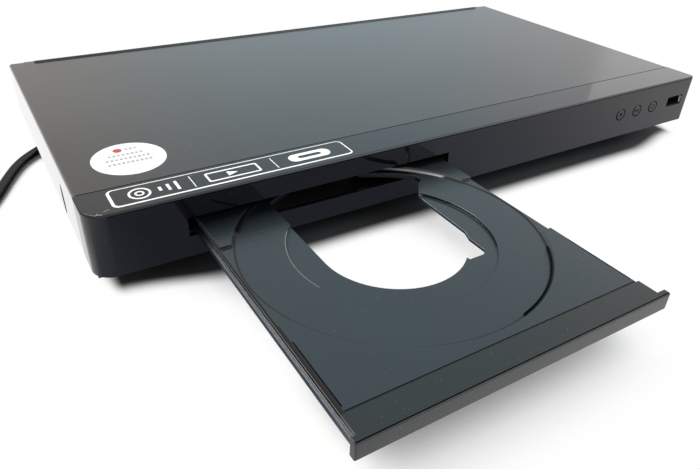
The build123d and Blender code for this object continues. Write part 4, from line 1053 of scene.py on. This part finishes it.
def prism(points, low, high, cut=0.0, turn=None):  # a block whose top edge is cut back
    form = bmesh.new()
    cx = sum(x for x, y in points) / len(points)
    cy = sum(y for x, y in points) / len(points)
    share = 1.0 - cut
    inner = [(cx + (x - cx) * share, cy + (y - cy) * share) for x, y in points]
    rings = [cornersAt(form, ring, z) for ring, z in (
        (points, low), (points, high - (high - low) * cut), (inner, high))]
    for before, after in zip(rings, rings[1:]):
        bridge(form, before, after)
    form.faces.new(rings[-1])
    form.faces.new(list(reversed(rings[0])))
    if turn:
        bmesh.ops.transform(form, matrix=turn, verts=form.verts)
    piece = bpy.data.objects.new("shape", meshFrom(form, "shape"))
    bpy.context.scene.collection.objects.link(piece)
    return piece


def crossOutline(arm, half):
    return [(half, half), (arm, half), (arm, -half), (half, -half), (half, -arm), (-half, -arm),
            (-half, -half), (-arm, -half), (-arm, half), (-half, half), (-half, arm), (half, arm)]


# The cross of a screw's drive is a dark inlay on its head.
drives = {
    "arm": 1.7,
    "half": 0.38,
    "rise": 0.04,
    "facing": {"top": None, "rear": Matrix.Rotation(math.radians(-90), 4, "X")},
    "sets": {
        "rear-screw-drives": ("rear", {
            "start": (-165.0, 156.4, 29.0), "columns": 3, "step": 165.0}),
        "loader-screw-drives": ("top", {
            "start": (-147.9, -23.0, 12.2), "columns": 2, "step": 141.2,
            "rows": 2, "rowStep": 143.0}),
        "main-board-screw-drives": ("top", {
            "start": (71.0, 1.0, 16.2), "columns": 2, "step": 96.0,
            "rows": 2, "rowStep": 146.6}),
        "power-board-screw-drives": ("top", {
            "start": (9.0, 27.0, 16.2), "columns": 2, "step": 44.0,
            "rows": 2, "rowStep": 112.0}),
    },
}
recess = makeMoulded("driveRecess", grey(0.004), grey(0.006), rough=0.6, dustShare=0.0)
for name, (side, places) in drives["sets"].items():
    cross = prism(crossOutline(drives["arm"], drives["half"]), 0.0, drives["rise"],
                  turn=drives["facing"][side])
    inRows(name, cross, recess, "dark_screw", **places)
print("screw drives placed")


def square(wide, deep):
    x, y = wide / 2, deep / 2
    return [(x, y), (-x, y), (-x, -y), (x, -y)]


# Small parts on the two boards: outline, height, share of the top edge cut back, and places
chipBlack = makeMoulded("chipBlack", grey(0.012), grey(0.018), rough=0.4, dustShare=0.0)
partFinishes = {"black_plastic": chipBlack, "can_black": finishes["can_black"]}
boardTop = 14.9
boardParts = {
    "main-board-chips": ("black_plastic", square(9.0, 9.0), 1.4, 0.06, {
        "start": (84.0, 24.0, boardTop), "columns": 4, "step": 22.0,
        "rows": 2, "rowStep": 58.0, "spread": 0.35}),
    "main-board-resistors": ("black_plastic", square(1.6, 0.8), 0.5, 0.0, {
        "start": (81.0, 6.0, boardTop), "columns": 16, "step": 5.3,
        "rows": 3, "rowStep": 4.0, "spread": 0.2}),
    "main-board-cans": ("can_black", discRing(0, 0, 3.2, 20), 7.4, 0.08, {
        "start": (80.0, 104.0, boardTop), "columns": 5, "step": 19.0, "spread": 0.25}),
    "power-board-cans": ("can_black", discRing(0, 0, 4.0, 20), 10.5, 0.08, {
        "start": (14.0, 40.0, boardTop), "columns": 4, "step": 11.4, "spread": 0.3}),
    "power-board-diodes": ("black_plastic", square(5.0, 2.6), 2.6, 0.1, {
        "start": (14.0, 47.0, boardTop), "columns": 5, "step": 9.0}),
}
for name, (slot, outline, tall, cut, places) in boardParts.items():
    inRows(name, prism(outline, 0.0, tall, cut), partFinishes[slot], slot, **places)
print("board parts placed")

# Grip ridges across both flats of the plug, and a tab at the left front corner
small = {
    "ridge": {"points": square(15.0, 1.0), "low": -6.8, "high": 7.05, "cut": 0.02},
    "ridgeRows": {"start": (-306.4, 68.0, 6.9), "rows": 5, "rowStep": 2.4},
    "tab": {"points": square(4.6, 2.4), "low": 0.0, "high": 1.9},
    "tabStart": (-176.2, -31.8, 5.65),
}
inRows("plug-ridges", prism(**small["ridge"]), cordVinyl, "grey_rubber", **small["ridgeRows"])
inRows("corner-tab", prism(**small["tab"]), finishes["black_gloss"], "black_gloss",
       small["tabStart"])

# The white table, with places in metres, a painted shadow in front of the player's face, and
# painted shade in what glossy surfaces see of it. The face is the front of the cabinet.
ground = {
    "half": 6.0,
    "level": -0.0004,
    "tones": (grey(0.84), grey(0.86)),
    "shadeTone": (0.045, 0.048, 0.052, 1.0),
    "face": -0.038,
    "underX": (0.170, 0.176),
    "underY": (0.140, 0.150),
    "taperX": (0.126, 0.176),
    "taperBy": 0.01,
    "shadeEnd": (0.003, 0.0145),
    "mirrorX": ((-0.26, -0.19), (0.02, 0.24)),
    "mirrorY": ((-0.01, 0.0), (0.09, 0.12)),
    "faceReflectionShade": (0.55, 0.57, 0.66, 1.0),
    "trayX": ((-0.19, -0.15), (-0.03, 0.04)),
    "trayReflectionShade": (0.24, 0.26, 0.33, 1.0),
    "contact": 0.06,
    "contactEdge": (0.25, 0.85),
    "rearEdge": (0.05, 0.5),
    "rearY": (-0.135, -0.105),
}


def makeTable():
    half = ground["half"]
    mesh = bpy.data.meshes.new("table")
    mesh.from_pydata([(x, y, ground["level"]) for x, y in box(-half, half, -half, half)],
                     [], [(0, 1, 2, 3)])
    table = bpy.data.objects.new("table", mesh)
    bpy.context.scene.collection.objects.link(table)
    top = Finish("tableTop", Roughness=0.6, Specular_IOR_Level=0.2)
    seen, glossy, through = top.rays()
    x, y = top.parts(top.place)[:2]
    ahead = ground["face"] - y  # how far in front of the player's face
    under = x.away().fade(*ground["underX"]) * y.fade(*ground["underY"])
    reach = ahead + x.away().step(*ground["taperX"]) * ground["taperBy"]
    # painted shadow, darker close in front of the face
    shadow = reach.fade(*ground["shadeEnd"]) * under
    pale = top.mix(top.noise(scale=3.0, detail=2.0), *ground["tones"])
    top.feed("Base Color", top.mix(shadow * seen.highest(glossy), pale, ground["shadeTone"]))
    # painted shade in the reflections of the table in the front face and the tray door
    mirroredShade = glossy * ahead.band(*ground["mirrorY"]) * x.band(*ground["mirrorX"])
    tint = top.mix(x.band(*ground["trayX"]), ground["faceReflectionShade"], ground["trayReflectionShade"])
    shine = top.add("ShaderNodeEmission", None, {
        "Color": top.mix(mirroredShade, grey(1.0), tint), "Strength": 1.0})
    near = top.add("ShaderNodeAmbientOcclusion", {"samples": 8}, {
        "Distance": ground["contact"]}, out=1)
    body = Wire(top, top.shader.outputs[0])
    shaded = near.step(*ground["contactEdge"]).highest(
        near.step(*ground["rearEdge"]) * y.step(*ground["rearY"]))
    lift = (1.0 - shadow) * (seen * shaded).highest(glossy).highest(through)
    blend = top.add("ShaderNodeMixShader", None, {0: lift, 1: body, 2: shine})
    top.tree.links.new(blend.socket, top.tree.nodes["Material Output"].inputs["Surface"])
    dress(table, top.material)


# Lamps, as power, place and size, and the tints of the surround from left to right
light = {
    "lamps": {
        "windowLamp": (45.0, (-0.9, 0.9, 1.3), 1.0),
        "fillLamp": (8.0, (0.9, -0.9, 0.9), 1.2),
        "farWindow": (0.8, (1.8, 0.74, 0.58), 0.8),
    },
    "surround": 0.6,
    "warmSide": (0.97, 0.91, 0.84, 1.0),
    "coolSide": (0.80, 0.98, 1.05, 1.0),
    "farSide": (1.0, 0.99, 1.0, 1.0),
    "warmToCool": (0.0, 0.4),
    "coolToFar": (0.55, 0.8),
}


def makeLamp(name, power, place, size):
    lamp = bpy.data.lights.new(name, "AREA")
    lamp.energy = power
    lamp.shape = "SQUARE"
    lamp.size = size
    holder = bpy.data.objects.new(name, lamp)
    bpy.context.scene.collection.objects.link(holder)
    turn = Vector(place).to_track_quat("Z", "Y")
    holder.matrix_world = Matrix.Translation(place) @ turn.to_matrix().to_4x4()


def makeSurround():
    world = bpy.data.worlds.new("surround")
    bpy.context.scene.world = world
    world.use_nodes = True
    sky = Graph(world.node_tree)
    seen, glossy, through = sky.rays()
    bare = seen.highest(glossy).highest(through)
    side = sky.parts(sky.source("ShaderNodeTexCoord")["Generated"])[0]
    tint = sky.mix(side.step(*light["warmToCool"]), light["warmSide"], light["coolSide"])
    tint = sky.mix(side.step(*light["coolToFar"]), tint, light["farSide"])
    tint = sky.mix(seen, tint, grey(1.0))
    strength = bare * (1.0 - light["surround"]) + light["surround"]
    shade = world.node_tree.nodes["Background"]
    world.node_tree.links.new(tint.socket, shade.inputs["Color"])
    world.node_tree.links.new(strength.socket, shade.inputs["Strength"])


makeTable()
makeSurround()
for name, lamp in light["lamps"].items():
    makeLamp(name, *lamp)
bpy.context.scene.view_settings.view_transform = "Standard"
print("table and lamps set")
